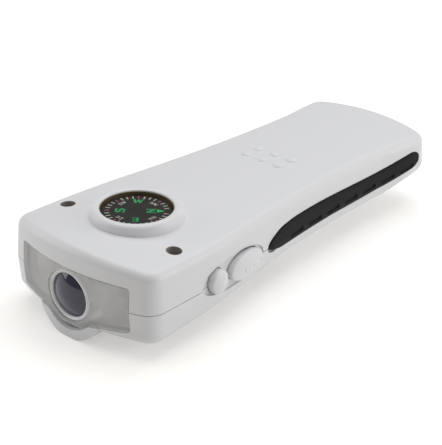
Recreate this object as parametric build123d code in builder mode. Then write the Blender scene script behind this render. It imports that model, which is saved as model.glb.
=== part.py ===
from build123d import *
import os
from functools import lru_cache
from math import acos, atan2, cos, degrees, pi, radians, sin, sqrt, tan

# Hand crank flashlight with a compass. Millimetres.
# Origin: where the crank's axis meets the plane the light lies on.
# +Z is up through the compass, the beam leaves towards -Y, the side buttons face +X.

os.makedirs("parts", exist_ok=True)

# ---------------------------------------------------------------- driving sizes

# Housing, seen from above
head_half_width = 26.2
waist_half_width = 20.6
front_y = -74.2
front_bow_radius = 64.0
front_corner_radius = 5.5
head_end_y = -58.0
waist_y = 30.0
tail_y = 58.8
tail_bow_radius = 68.0
tail_corner_radius = 7.0
draft = 4.0

# Housing, seen from the side
parting_z = 13.7
parting_gap = 0.2
top_front_z = 26.2
top_tail_z = 23.4
crown_radius = 200.0
top_edge_radius = 2.6
bottom_edge_radius = 2.6
head_underside_z = 4.4
handle_underside_z = 7.3
tail_underside_z = 10.9
underside_rise_start_y = -65.0
underside_flat_start_y = -14.0
tail_rise_start_y = 38.0
underside_bend_radius = 30.0
wall = 1.6
lip_height = 1.1
lip_thickness = 0.7
lip_clearance = 0.1

# Lamp window and the round bulge under it
lens_z = 12.0
bulge_radius = 12.3
bulge_back_y = -59.0
bulge_nose_length = 7.0
bulge_nose_radius = 7.0
window_half_width = 19.6
window_top_z = 20.3
window_corner_z = 7.4
window_low_z = 5.6
window_bulge_radius = 9.5
window_corner_radius = 1.2
window_notch_radius = 3.0

# Clear front cover, lens and reflector
cover_clearance = 0.12
cover_thickness = 1.3
cover_rim = 1.0
cover_flange = 1.2
cover_flange_gap = 0.06
cover_flange_overlap = 1.4
cover_depth = 4.0
lens_fit = 0.05
lens_radius = 6.1
lens_ring_radius = 7.25
lens_ring_setback = 0.9
lens_ring_edge = 0.4
lens_dome = 1.6
reflector_setback = 4.7
reflector_depth = 7.4
reflector_inset = 0.62
bowl_offset = 13.2
bowl_z = 13.9
bowl_mouth_radius = 5.4
bowl_sides = 10
led_radius = 2.4
led_length = 5.4
led_board_thickness = 1.2

# Compass
compass_y = -48.0
compass_ring_radius = 12.2
compass_ring_top_z = 28.3
compass_ring_rounding = 0.9
compass_bore_radius = 10.4
compass_bore_floor_z = 20.6
compass_fit = 0.08
compass_case_wall = 0.6
compass_case_floor = 1.0
compass_card_radius = 9.3
compass_card_z = 26.1
compass_card_thickness = 0.5
compass_magnet_length = 13.0
compass_magnet_width = 2.6
compass_magnet_height = 1.1
compass_pin_radius = 0.45
compass_pin_clearance = 0.08
compass_cover_thickness = 0.8
compass_cover_dome = 0.5

# Screw wells beside the compass, the other case screws, and the bumps on top
top_well_x = 19.6
top_well_y = -54.6
top_well_radius = 2.1
top_well_floor_z = 17.4
waist_screw_x = 17.4
waist_screw_y = -17.0
tail_screw_x = 12.0
tail_screw_y = 51.0
well_wall = 1.4
seat_height = 2.6
thread_depth = 5.5
screw_tip_depth = 4.8
screw_hole_clearance = 0.2
boss_sink = 0.4
axle_boss_radius = 2.2
axle_boss_height = 0.8
rib_thickness = 1.4
screw_head_radius = 1.8
screw_head_height = 1.3
screw_shank_radius = 0.95
thread_clearance = 0.03
bump_radius = 1.45
bump_height = 0.4
bump_pitch_x = 6.0
bump_pitch_y = 5.6
bumps_y = 7.0

# Side buttons
button_z = 14.2
front_button_y = -44.7
front_button_length = 6.4
front_button_height = 6.8
rear_button_y = -32.6
rear_button_length = 14.6
rear_button_height = 7.4
button_stand_out = 1.1
button_clearance = 0.15
button_travel = 0.4
button_flange = 0.9
button_flange_thickness = 0.9
button_recess_length = 27.4
button_recess_height = 9.6
button_recess_depth = 0.7
button_recess_y = -37.3
button_edge = 0.9
dimples_y = -30.9
dimples_z = 13.4
dimple_radius = 0.75
dimple_pitch = 4.0
dimple_depth = 0.3

# Rubber grips
grip_front_y = -21.6
grip_back_y = 55.4
grip_depth = 1.0
grip_stand_out = 0.35
grip_clearance = 0.06
grip_tip_z = 13.4
grip_high_z = 17.7
grip_low_z = 11.2
grip_shoulder_length = 10.3
grip_heel_length = 5.0
grip_slot_count = 7
grip_slot_pitch = 9.25
grip_slot_start_y = -7.3
grip_slot_length = 6.2
grip_slot_height = 1.1
grip_slot_depth = 0.6
grip_slot_z = 13.0

# Crank
hub_radius = 9.0
hub_height = 6.1
arm_height = 5.5
arm_tip_y = 38.0
arm_tip_radius = 6.4
crank_fold_y = 33.8
slot_half_width = 2.95
slot_hub_y = 11.6
knob_radius = 2.6
knob_length = 16.6
knob_start = 3.1
knob_bore_clearance = 0.06
knob_edge = 0.5
knob_grooves = 5
knob_groove_depth = 0.25
knob_groove_width = 0.7
post_radius = 1.25
post_eye_radius = 2.5
post_head_radius = 2.0
post_head_length = 0.9
hinge_pin_radius = 0.8
running_clearance = 0.05
bush_radius = 5.4
bush_flange_radius = 8.0
bush_flange_thickness = 0.9
shaft_radius = 4.0
shaft_stub_radius = 2.0
shaft_flat_x = 3.2

# Gear train: teeth, modules and levels
crank_teeth = 44
first_pinion_teeth = 11
crank_module = 0.6
first_wheel_teeth = 36
second_pinion_teeth = 10
second_module = 0.5
second_wheel_teeth = 32
rotor_pinion_teeth = 8
third_module = 0.4
pressure_angle = 20.0
backlash = 0.12
addendum = 0.9
dedendum = 1.3
crank_gear_z = 10.2
crank_gear_thickness = 2.2
pinion_margin = 0.25
second_wheel_z = 14.9
second_wheel_thickness = 1.5
first_wheel_z = 16.9
first_wheel_thickness = 1.6
plate_z = 19.1
plate_thickness = 1.0
first_axle_radius = 0.9
second_axle_radius = 0.75
rotor_x = -6.0
neck_radius = 2.4

# Generator
can_radius = 9.4
can_high_z = 14.4
can_wall = 0.5
can_seat_depth = 0.3
coil_inner_radius = 6.1
magnet_radius = 5.4
magnet_gap = 0.7

# Boards and cells
board_z = 9.2
board_thickness = 1.2
board_front_y = -57.4
board_back_y = -36.0
board_half_width = 15.4
board_arm_front_y = -50.0
board_arm_back_y = -28.0
board_arm_root_x = 8.0
board_arm_x = 20.0
board_posts = [(-12.0, -54.5), (-12.0, -39.0), (12.0, -54.5), (13.0, -31.0)]
board_post_radius = 1.8
peg_radius = 0.8
peg_height = 0.5
led_board_gap = 0.85
capacitor_place = (-5.0, -51.0)
capacitor_radius = 2.5
capacitor_height = 7.0
cell_edge = 0.4
switch_length = 6.0
switch_height = 7.0
switch_depth = 3.4
plunger_radius = 1.5
cell_radius = 5.8
cell_length = 5.3
cell_gap = 0.1
cell_count = 3
battery_x = -2.9
battery_y = -24.5
battery_z = 15.2
cradle_clearance = 0.15

# ---------------------------------------------------------------- worked-out places

top_slope = (top_front_z - top_tail_z) / (tail_y - front_y)
upper_low_z = parting_z + parting_gap / 2
lower_high_z = parting_z - parting_gap / 2
far = 40.0

shoulder_share = 0.341
shoulder_x = head_half_width - shoulder_share * (head_half_width - waist_half_width)
shoulder_y = head_end_y + shoulder_share * (waist_y - head_end_y)


def bow(radius, x):
    """How far a bowed end falls back at x from its middle."""
    return radius - sqrt(radius ** 2 - x ** 2)


def side_x(y):
    """Half-width of the housing at the parting line."""
    if y <= head_end_y:
        return head_half_width
    if y >= waist_y:
        return waist_half_width
    if y < shoulder_y:
        run, drop = shoulder_y - head_end_y, head_half_width - shoulder_x
        radius = (run ** 2 + drop ** 2) / (2 * drop)
        return head_half_width - bow(radius, y - head_end_y)
    run, drop = waist_y - shoulder_y, shoulder_x - waist_half_width
    radius = (run ** 2 + drop ** 2) / (2 * drop)
    return waist_half_width + bow(radius, waist_y - y)


def top_z(x, y):
    """Height of the crowned top skin."""
    return top_front_z - top_slope * (y - front_y) - bow(crown_radius, x)


def underside_z(y):
    """Height of the underside, leaving its rounded bends out."""
    if y < underside_rise_start_y:
        return head_underside_z
    if y < underside_flat_start_y:
        share = (y - underside_rise_start_y) / (underside_flat_start_y - underside_rise_start_y)
        return head_underside_z + share * (handle_underside_z - head_underside_z)
    if y < tail_rise_start_y:
        return handle_underside_z
    share = (y - tail_rise_start_y) / (tail_y - tail_rise_start_y)
    return handle_underside_z + share * (tail_underside_z - handle_underside_z)


def floor_z(y):
    return underside_z(y) + wall


# ---------------------------------------------------------------- shared forms


@lru_cache
def plan_outline(height, inset=0.0):
    """The housing seen from above: bowed ends, wide head, S-shaped sides."""
    with BuildSketch(Plane.XY.offset(height)) as outline:
        with BuildLine():
            corner_y = front_y + bow(front_bow_radius, head_half_width)
            tail_corner_y = tail_y - bow(tail_bow_radius, waist_half_width)
            half = head_half_width / 2
            ThreePointArc(
                (0, front_y), (half, front_y + bow(front_bow_radius, half)), (head_half_width, corner_y)
            )
            Line((head_half_width, corner_y), (head_half_width, head_end_y))
            shoulder = TangentArc(
                (head_half_width, head_end_y), (shoulder_x, shoulder_y), tangent=(0, 1)
            )
            TangentArc((shoulder_x, shoulder_y), (waist_half_width, waist_y), tangent=shoulder % 1)
            Line((waist_half_width, waist_y), (waist_half_width, tail_corner_y))
            half = waist_half_width / 2
            ThreePointArc(
                (waist_half_width, tail_corner_y), (half, tail_y - bow(tail_bow_radius, half)), (0, tail_y)
            )
            mirror(about=Plane.YZ)
        make_face()
        front = outline.vertices().filter_by(lambda v: abs(v.X) > 1 and abs(v.Y - corner_y) < 0.01)
        fillet(front, front_corner_radius)
        back = outline.vertices().filter_by(lambda v: abs(v.X) > 1 and abs(v.Y - tail_corner_y) < 0.01)
        fillet(back, tail_corner_radius)
        if inset:
            offset(amount=-inset, mode=Mode.REPLACE)
    return outline.sketch


def drafted(start, end, inset):
    """The housing outline carried up or down from the parting line, drawn in by the draft."""
    with BuildPart() as block:
        add(plan_outline(start, inset))
        add(plan_outline(end, inset + abs(end - start) * tan(radians(draft))))
        loft(ruled=True)
    return block.part


@lru_cache
def upper_form(inset=0.0, drop=0.0, low=upper_low_z):
    """The upper half of the housing as a block, drawn in from its outer skin."""
    tail_plane = Plane(
        origin=(0, tail_y + far, top_tail_z - top_slope * far - drop),
        x_dir=(1, 0, 0),
        z_dir=(0, -1, top_slope),
    )
    with BuildPart() as form:
        add(drafted(low, low + far / 2, inset))
        with BuildSketch(tail_plane) as under_skin:
            with BuildLine():
                fall = -bow(crown_radius, far)
                crown = ThreePointArc((-far, fall), (0, 0), (far, fall))
                Polyline(crown @ 1, (far, -far), (-far, -far), crown @ 0)
            make_face()
        extrude(under_skin.sketch, amount=2 * far + tail_y - front_y, mode=Mode.INTERSECT)
    return form.part


@lru_cache
def lower_form(inset=0.0, rise=0.0):
    """The lower half of the housing as a block, without the bulge."""
    with BuildPart() as form:
        add(drafted(lower_high_z, lower_high_z - far / 2, inset))
        with BuildSketch(Plane.YZ.offset(-far)) as side:
            with BuildLine():
                Polyline(
                    (front_y - far, head_underside_z + rise),
                    (underside_rise_start_y, head_underside_z + rise),
                    (underside_flat_start_y, handle_underside_z + rise),
                    (tail_rise_start_y, handle_underside_z + rise),
                    (tail_y + far, tail_slope_end + rise),
                    (tail_y + far, far),
                    (front_y - far, far),
                    close=True,
                )
            make_face()
            fillet(side.vertices().filter_by(lambda v: front_y < v.X < tail_y), underside_bend_radius)
        extrude(side.sketch, amount=2 * far, mode=Mode.INTERSECT)
    return form.part


tail_slope = (tail_underside_z - handle_underside_z) / (tail_y - tail_rise_start_y)
tail_slope_end = tail_underside_z + far * tail_slope


def lip_band(low, high, spare=0.0):
    """The thin lip of the lower shell that stands inside the upper one, or the rebate it fits."""
    with BuildPart() as band:
        extrude(plan_outline(low, wall - lip_thickness - spare), amount=high - low)
        extrude(plan_outline(low, wall + spare), amount=high - low, mode=Mode.SUBTRACT)
    return band.part


def bulge_form(inset=0.0):
    """The round bulge under the lamp, turned about the lens axis and closed by a rounded nose."""
    radius, nose, back = bulge_radius - inset, bulge_nose_radius - inset, bulge_back_y - inset
    with BuildPart() as form:
        with BuildSketch(Plane.XY.offset(lens_z)) as profile:
            with BuildLine():
                start = (0, front_y - 1)
                nose_end = (nose, back + bulge_nose_length)
                Polyline(start, (radius, front_y - 1), (radius, back))
                Spline((radius, back), nose_end, tangents=[(0, 1), (-1, 0.2)])
                Polyline(nose_end, (0, back + bulge_nose_length), start)
            make_face()
        revolve(profile.sketch, axis=Axis((0, 0, lens_z), (0, 1, 0)))
        extrude(plan_outline(inset, inset), amount=lens_z - inset, mode=Mode.INTERSECT)
    return form.part




def window_outline(y, grow=0.0):
    """The lamp window seen from the front, with its round lobe below the lens."""
    lobe_x = sqrt(window_bulge_radius ** 2 - (lens_z - window_low_z) ** 2)
    with BuildSketch(Plane(origin=(0, y, 0), x_dir=(1, 0, 0), z_dir=(0, -1, 0))) as outline:
        with BuildLine():
            Line((0, window_top_z), (window_half_width, window_top_z))
            Line((window_half_width, window_top_z), (window_half_width, window_corner_z))
            Line((window_half_width, window_corner_z), (lobe_x, window_low_z))
            reach = atan2(lens_z - window_low_z, lobe_x)
            middle = (reach + pi / 2) / 2
            ThreePointArc(
                (lobe_x, window_low_z),
                (window_bulge_radius * cos(middle), lens_z - window_bulge_radius * sin(middle)),
                (0, lens_z - window_bulge_radius),
            )
            mirror(about=Plane.YZ)
        make_face()
        fillet(outline.vertices().filter_by(lambda v: abs(v.X) > lobe_x + 1), window_corner_radius)
        fillet(outline.vertices().filter_by(lambda v: abs(abs(v.X) - lobe_x) < 0.01), window_notch_radius)
        if grow:
            offset(amount=grow, mode=Mode.REPLACE)
    return outline.sketch


def post(x, y, low, high, radius, mode=Mode.ADD):
    """A round post, or a round hole, between two heights."""
    with BuildSketch(Plane.XY.offset(low)) as disc:
        with Locations((x, y)):
            Circle(radius)
    extrude(disc.sketch, amount=high - low, mode=mode)


def ring(x, y, low, high, outer, inner, mode=Mode.ADD):
    """A round collar between two heights."""
    with BuildSketch(Plane.XY.offset(low)) as band:
        with Locations((x, y)):
            Circle(outer)
            Circle(inner, mode=Mode.SUBTRACT)
    extrude(band.sketch, amount=high - low, mode=mode)


def side_ellipse(y, length, height, x):
    """An upright oval standing in a plane square to X."""
    with BuildSketch(Plane.YZ.offset(x)) as oval:
        with Locations((y, button_z)):
            Ellipse(length / 2, height / 2)
    return oval.sketch


def grip_outline(x, grow=0.0):
    """Teardrop grip seen from the side: pointed at the front, full and round at the tail."""
    front, back, middle = grip_front_y, grip_back_y, (grip_front_y + grip_back_y) / 2
    tip, shoulder = (front, grip_tip_z), (front + grip_shoulder_length, grip_high_z)
    heel_top = (back - grip_heel_length, grip_high_z - 0.2)
    heel_low = (back - grip_heel_length, grip_low_z + 1.3)
    chin, jaw = (front + 20.0, grip_low_z + 1.0), (front + 4.6, grip_low_z + 0.7)
    with BuildSketch(Plane.YZ.offset(x)) as outline:
        with BuildLine():
            ThreePointArc(tip, (front + 4.0, grip_high_z - 1.3), shoulder)
            ThreePointArc(shoulder, (middle, grip_high_z - 0.8), heel_top)
            ThreePointArc(heel_top, (back, grip_high_z - 2.3), heel_low)
            ThreePointArc(heel_low, (middle + 11.0, grip_low_z), chin)
            Line(chin, jaw)
            ThreePointArc(jaw, (front + 1.0, grip_tip_z - 1.1), tip)
        make_face()
        if grow:
            offset(amount=grow, mode=Mode.REPLACE)
    return outline.sketch


@lru_cache
def housing_block(inset):
    """Both halves of the housing as one plain block, drawn in from the outer skin."""
    with BuildPart() as block:
        add(upper_form(inset, 0, parting_z))
        add(drafted(parting_z, parting_z - far / 4, inset))
    return block.part


@lru_cache
def grip_space(grow=0.0):
    """Where the right grip lies: its outline swept through the skin down to its seat."""
    with BuildPart() as space:
        extrude(grip_outline(far, grow), amount=4 - far)
        add(housing_block(grip_depth), mode=Mode.SUBTRACT)
    return space.part


def cut_side_features():
    """Cut the seats of both grips, and the dish and the holes of the buttons."""
    add(grip_space(grip_clearance), mode=Mode.SUBTRACT)
    add(mirror(grip_space(grip_clearance), about=Plane.YZ, mode=Mode.PRIVATE), mode=Mode.SUBTRACT)
    add(button_recess(), mode=Mode.SUBTRACT)
    add(button_holes(), mode=Mode.SUBTRACT)


def front_plane(x, y, z):
    """An upright plane facing the beam."""
    return Plane(origin=(x, y, z), x_dir=(1, 0, 0), z_dir=(0, -1, 0))


def button_recess():
    """The shallow oval dish that both side buttons stand in."""
    with BuildPart() as dish:
        extrude(side_ellipse(button_recess_y, button_recess_length, button_recess_height, far), amount=-far + 4)
        add(housing_block(button_recess_depth), mode=Mode.SUBTRACT)
    return dish.part


buttons = [
    (front_button_y, front_button_length, front_button_height),
    (rear_button_y, rear_button_length, rear_button_height),
]


def button_holes():
    """The two oval holes through the side wall."""
    with BuildPart() as holes:
        for y, length, height in buttons:
            wide, tall = length + 2 * button_clearance, height + 2 * button_clearance
            extrude(side_ellipse(y, wide, tall, far), amount=-(far - side_x(y) + 3 * wall))
    return holes.part


def gear_outline(teeth, module, tooth_at, height):
    """Involute gear, each flank drawn through its root, pitch and tip."""
    pitch = teeth * module / 2
    base = pitch * cos(radians(pressure_angle))
    root, tip = pitch - dedendum * module, pitch + addendum * module

    def half_angle(radius):
        thick = pi / (2 * teeth) - backlash / (4 * pitch)
        roll = tan(radians(pressure_angle)) - radians(pressure_angle)
        if radius <= base:
            return (thick + roll) * (0.6 + 0.4 * radius / base)
        slope = acos(base / radius)
        return thick + roll - (tan(slope) - slope)

    points = []
    for tooth in range(teeth):
        middle = radians(tooth_at) + 2 * pi * tooth / teeth
        flank = [(radius, half_angle(radius)) for radius in (root, max(pitch, base), tip)]
        points += [(r * cos(middle - a), r * sin(middle - a)) for r, a in flank]
        points += [(r * cos(middle + a), r * sin(middle + a)) for r, a in reversed(flank)]
    with BuildSketch(Plane.XY.offset(height)) as outline:
        with BuildLine():
            Polyline(*points, close=True)
        make_face()
    return outline.sketch


def toothed(centre, teeth, module, tooth_at, low, high):
    """One toothed disc, standing between two heights on its axle."""
    outline = gear_outline(teeth, module, tooth_at, low)
    extrude(outline.moved(Location((centre[0], centre[1], 0))), amount=high - low)


def screw(x, y, head_z, tip_z, head_radius, shank_radius, head_height):
    """A pan-head screw with a plain slot, driven towards tip_z."""
    up = 1 if head_z > tip_z else -1
    post(x, y, min(head_z, tip_z), max(head_z, tip_z), shank_radius)
    low, high = sorted((head_z, head_z + up * head_height))
    post(x, y, low, high, head_radius)
    slot_low, slot_high = sorted((head_z + up * head_height, head_z + up * head_height * 0.4))
    with BuildSketch(Plane.XY.offset(slot_low)) as slot:
        with Locations((x, y)):
            Rectangle(head_radius * 1.5, head_radius * 0.3)
    extrude(slot.sketch, amount=slot_high - slot_low, mode=Mode.SUBTRACT)


# ---------------------------------------------------------------- axles of the train

first_distance = (crank_teeth + first_pinion_teeth) * crank_module / 2
second_distance = (first_wheel_teeth + second_pinion_teeth) * second_module / 2
third_distance = (second_wheel_teeth + rotor_pinion_teeth) * third_module / 2
first_axis = (0.0, first_distance)
first_to_rotor = 13.7
rotor_axis = (rotor_x, first_axis[1] + sqrt(first_to_rotor ** 2 - rotor_x ** 2))
along = (second_distance ** 2 - third_distance ** 2 + first_to_rotor ** 2) / (2 * first_to_rotor)
across = sqrt(second_distance ** 2 - along ** 2)
run = ((rotor_axis[0] - first_axis[0]) / first_to_rotor, (rotor_axis[1] - first_axis[1]) / first_to_rotor)
second_axis = (
    first_axis[0] + along * run[0] + across * run[1],
    first_axis[1] + along * run[1] - across * run[0],
)


def bearing(start, end):
    """Direction from one axle to another, in degrees."""
    return degrees(atan2(end[1] - start[1], end[0] - start[0]))


window_cut_end_y = front_y + bow(front_bow_radius, window_half_width) + wall + 1
can_low_z = floor_z(rotor_axis[1]) - can_seat_depth + 0.02
plate_posts = [(14.5, 9.0), (-14.5, 9.0), (12.0, 37.0), (-13.5, 40.0)]
plate_post_radius = 2.1
plate_screw_head = 1.7
plate_screw_shank = 0.85
plate_high_z = plate_z + plate_thickness
axle_high_z = plate_high_z - 0.1

# ---------------------------------------------------------------- upper shell

with BuildPart() as upper_shell:
    add(upper_form())
    fillet(upper_shell.faces().sort_by(Axis.Z)[-1].edges(), top_edge_radius)
    ring(0, compass_y, top_z(0, compass_y) - 3, compass_ring_top_z, compass_ring_radius, 1)
    crest = upper_shell.faces().sort_by(Axis.Z)[-1].edges().sort_by(SortBy.LENGTH)[-1]
    fillet(crest, compass_ring_rounding)
    sphere_radius = (bump_radius ** 2 + bump_height ** 2) / (2 * bump_height)
    for column in (-1, 0, 1):
        for row in (-0.5, 0.5):
            x, y = column * bump_pitch_x, bumps_y + row * bump_pitch_y
            with Locations((x, y, top_z(x, y) + bump_height - sphere_radius)):
                Sphere(sphere_radius)
    add(upper_form(wall, wall), mode=Mode.SUBTRACT)
    post(0, compass_y, compass_bore_floor_z - wall, top_z(0, compass_y), compass_ring_radius)
    post(0, compass_y, compass_bore_floor_z, compass_ring_top_z + 1, compass_bore_radius, Mode.SUBTRACT)
    for side in (-1, 1):
        well_post = top_well_radius + well_wall
        post(side * top_well_x, top_well_y, upper_low_z, top_z(top_well_x, top_well_y) - 0.5, well_post)
        post(side * top_well_x, top_well_y, top_well_floor_z, 2 * far, top_well_radius, Mode.SUBTRACT)
        hole = screw_shank_radius + screw_hole_clearance
        post(side * top_well_x, top_well_y, upper_low_z, top_well_floor_z, hole, Mode.SUBTRACT)
        for x, y in ((side * waist_screw_x, waist_screw_y), (side * tail_screw_x, tail_screw_y)):
            post(x, y, upper_low_z, top_z(x, y) - wall / 2, screw_shank_radius + well_wall)
            threads = screw_shank_radius + thread_clearance
            post(x, y, upper_low_z, upper_low_z + thread_depth, threads, Mode.SUBTRACT)
    add(lip_band(upper_low_z, parting_z + lip_height + lip_clearance, lip_clearance), mode=Mode.SUBTRACT)
    extrude(window_outline(front_y - 1), amount=front_y - 1 - window_cut_end_y, mode=Mode.SUBTRACT)
    cut_side_features()
upper_shell.part.label = "upper_shell"
export_step(upper_shell.part, "parts/upper_shell.step")

# ---------------------------------------------------------------- lower shell

led_board_y = front_y + reflector_setback + reflector_depth + led_board_gap

with BuildPart() as lower_shell:
    add(lower_form())
    underside = lower_shell.faces().filter_by(lambda f: f.normal_at(f.center()).Z < -0.7)
    rim = ShapeList([edge for face in underside for edge in face.edges()])
    fillet(rim.filter_by(lambda e: abs((e @ 0).X - (e @ 1).X) < 30), bottom_edge_radius)
    add(bulge_form())
    add(lower_form(wall, wall), mode=Mode.SUBTRACT)
    add(bulge_form(wall), mode=Mode.SUBTRACT)
    add(lip_band(lower_high_z - 0.5, parting_z + lip_height))
    for side in (-1, 1):
        threads = screw_shank_radius + thread_clearance
        x, y = side * top_well_x, top_well_y
        post(x, y, floor_z(y) - boss_sink, lower_high_z, screw_shank_radius + well_wall)
        post(x, y, lower_high_z - thread_depth, lower_high_z, threads, Mode.SUBTRACT)
        for x, y in ((side * waist_screw_x, waist_screw_y), (side * tail_screw_x, tail_screw_y)):
            seat = underside_z(y) + seat_height
            post(x, y, floor_z(y) - boss_sink, lower_high_z, top_well_radius + well_wall)
            post(x, y, 0, seat, top_well_radius, Mode.SUBTRACT)
            post(x, y, seat, lower_high_z, screw_shank_radius + screw_hole_clearance, Mode.SUBTRACT)
    post(*rotor_axis, can_low_z - 0.02, can_high_z, can_radius + 0.15, Mode.SUBTRACT)
    for x, y in plate_posts:
        post(x, y, floor_z(y) - boss_sink, plate_z, plate_post_radius)
        post(x, y, plate_z - 6, plate_z, plate_screw_shank + thread_clearance, Mode.SUBTRACT)
    for x, y in board_posts:
        post(x, y, floor_z(y) - boss_sink, board_z, board_post_radius)
        post(x, y, board_z, board_z + board_thickness + peg_height, peg_radius)
    bush_top = floor_z(0) + 0.8
    post(0, 0, floor_z(0) - boss_sink, bush_top, bush_radius + wall)
    post(0, 0, 0, bush_top, bush_radius + 0.02, Mode.SUBTRACT)
    post(*first_axis, floor_z(0) - boss_sink, floor_z(0) + axle_boss_height, axle_boss_radius)
    post(*first_axis, floor_z(0), floor_z(0) + axle_boss_height, first_axle_radius + 0.02, Mode.SUBTRACT)
    cradle_y = cell_radius + rib_thickness / 2
    for x in (battery_x - cell_length, battery_x + cell_length):
        with BuildSketch(Plane.YZ.offset(x - rib_thickness / 2)) as rib:
            with Locations((battery_y, (floor_z(battery_y) + battery_z) / 2 - 1.2)):
                Rectangle(2 * cradle_y, battery_z - floor_z(battery_y) - 2)
            with Locations((battery_y, battery_z)):
                Circle(cell_radius + cradle_clearance, mode=Mode.SUBTRACT)
        extrude(rib.sketch, amount=rib_thickness)
    for side in (-1, 1):
        with BuildSketch(Plane.XY.offset(head_underside_z + wall / 2)) as stop:
            with Locations((side * 12, led_board_y + led_board_thickness + 0.05 + rib_thickness / 2)):
                Rectangle(5, rib_thickness)
        extrude(stop.sketch, amount=4)
    extrude(window_outline(front_y - 1), amount=front_y - 1 - window_cut_end_y, mode=Mode.SUBTRACT)
    cut_side_features()
lower_shell.part.label = "lower_shell"
export_step(lower_shell.part, "parts/lower_shell.step")

# ---------------------------------------------------------------- lamp

cover_grow = -cover_clearance
cover_inner_grow = -cover_clearance - cover_rim


def front_layer(outline, near, deep):
    """An outline swept into the head, kept between two depths behind the outer skin."""
    with BuildPart() as layer:
        extrude(outline, amount=-far / 2)
        add(housing_block(near), mode=Mode.INTERSECT)
        add(housing_block(deep), mode=Mode.SUBTRACT)
    return layer.part


flange_near = wall + cover_flange_gap
flange_deep = flange_near + cover_flange
flange_low_z = floor_z(front_y) + 2
flange_high_z = window_top_z + cover_flange_overlap

with BuildPart() as front_cover:
    with BuildSketch(front_plane(0, front_y - 1, 0)) as rim_outline:
        add(window_outline(front_y - 1, cover_grow))
        add(window_outline(front_y - 1, cover_inner_grow), mode=Mode.SUBTRACT)
    with BuildSketch(front_plane(0, front_y - 1, 0)) as flange_outline:
        with Locations((0, (flange_low_z + flange_high_z) / 2)):
            Rectangle(2 * (window_half_width + cover_flange_overlap), flange_high_z - flange_low_z)
        add(window_outline(front_y - 1, cover_inner_grow), mode=Mode.SUBTRACT)
    add(front_layer(window_outline(front_y - 1, cover_grow), 0, cover_thickness))
    add(front_layer(rim_outline.sketch, 0, flange_deep))
    add(front_layer(flange_outline.sketch, flange_near, flange_deep))
    with BuildSketch(front_plane(0, front_y - 1, lens_z)) as eye:
        Circle(lens_ring_radius + lens_fit)
    extrude(eye.sketch, amount=-far / 2, mode=Mode.SUBTRACT)
front_cover.part.label = "front_cover"
export_step(front_cover.part, "parts/front_cover.step")

ring_front_y = front_y + lens_ring_setback
reflector_front_y = front_y + cover_depth

with BuildPart() as lens_ring:
    with BuildSketch(Plane(origin=(0, ring_front_y, lens_z), x_dir=(1, 0, 0), z_dir=(0, -1, 0))) as hoop:
        Circle(lens_ring_radius)
        Circle(lens_radius + 0.05, mode=Mode.SUBTRACT)
    extrude(hoop.sketch, amount=-(reflector_front_y - ring_front_y))
    chamfer(lens_ring.edges().group_by(Axis.Y)[0], lens_ring_edge)
lens_ring.part.label = "lens_ring"
export_step(lens_ring.part, "parts/lens_ring.step")

lens_apex_y = ring_front_y + 0.25
lens_edge_y = lens_apex_y + lens_dome

with BuildPart() as centre_lens:
    with BuildSketch(Plane.XY.offset(lens_z)) as lens_half:
        with BuildLine():
            dome_radius = (lens_radius ** 2 + lens_dome ** 2) / (2 * lens_dome)
            Line((0, reflector_front_y - 0.1), (0, lens_apex_y))
            half = lens_radius / 2
            ThreePointArc(
                (0, lens_apex_y), (half, lens_apex_y + bow(dome_radius, half)), (lens_radius, lens_edge_y)
            )
            Polyline(
                (lens_radius, lens_edge_y),
                (lens_radius, reflector_front_y - 0.1),
                (0, reflector_front_y - 0.1),
            )
        make_face()
    revolve(lens_half.sketch, axis=Axis((0, 0, lens_z), (0, 1, 0)))
centre_lens.part.label = "centre_lens"
export_step(centre_lens.part, "parts/centre_lens.step")

reflector_back_y = front_y + reflector_setback + reflector_depth
lamps = {"left": (-bowl_offset, bowl_z), "centre": (0, lens_z), "right": (bowl_offset, bowl_z)}


with BuildPart() as reflector:
    extrude(window_outline(reflector_back_y, -reflector_inset), amount=far / 2)
    extrude(plan_outline(0, cover_depth), amount=far, mode=Mode.INTERSECT)
    for x, z in lamps.values():
        with BuildSketch(front_plane(x, reflector_back_y, z)) as seat:
            Circle(led_radius + 0.2)
        extrude(seat.sketch, amount=far / 2, mode=Mode.SUBTRACT)
        if x:
            with BuildSketch(front_plane(x, reflector_front_y, z), mode=Mode.PRIVATE) as mouth:
                RegularPolygon(bowl_mouth_radius, bowl_sides)
            with BuildSketch(front_plane(x, reflector_back_y - 1, z), mode=Mode.PRIVATE) as throat:
                RegularPolygon(led_radius + 0.3, bowl_sides)
            loft([mouth.sketch, throat.sketch], ruled=True, mode=Mode.SUBTRACT)
        else:
            with BuildSketch(front_plane(x, reflector_back_y - 1, z)) as tube:
                Circle(lens_radius - 0.3)
            extrude(tube.sketch, amount=far / 2, mode=Mode.SUBTRACT)
reflector.part.label = "reflector"
export_step(reflector.part, "parts/reflector.step")

for place, (x, z) in lamps.items():
    with BuildPart() as led:
        with BuildSketch(Plane.XY.offset(z)) as led_half:
            with BuildLine():
                base_y = led_board_y - 0.02
                flange_y = base_y - 0.75
                dome_y = base_y - led_length
                Polyline(
                    (x, dome_y - led_radius),
                    (x, base_y),
                    (x + led_radius + 0.4, base_y),
                    (x + led_radius + 0.4, flange_y),
                    (x + led_radius, flange_y),
                    (x + led_radius, dome_y),
                )
                reach = led_radius * sqrt(0.5)
                ThreePointArc((x + led_radius, dome_y), (x + reach, dome_y - reach), (x, dome_y - led_radius))
            make_face()
        revolve(led_half.sketch, axis=Axis((x, 0, z), (0, 1, 0)))
    led.part.label = f"led_{place}"
    export_step(led.part, f"parts/led_{place}.step")

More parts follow.
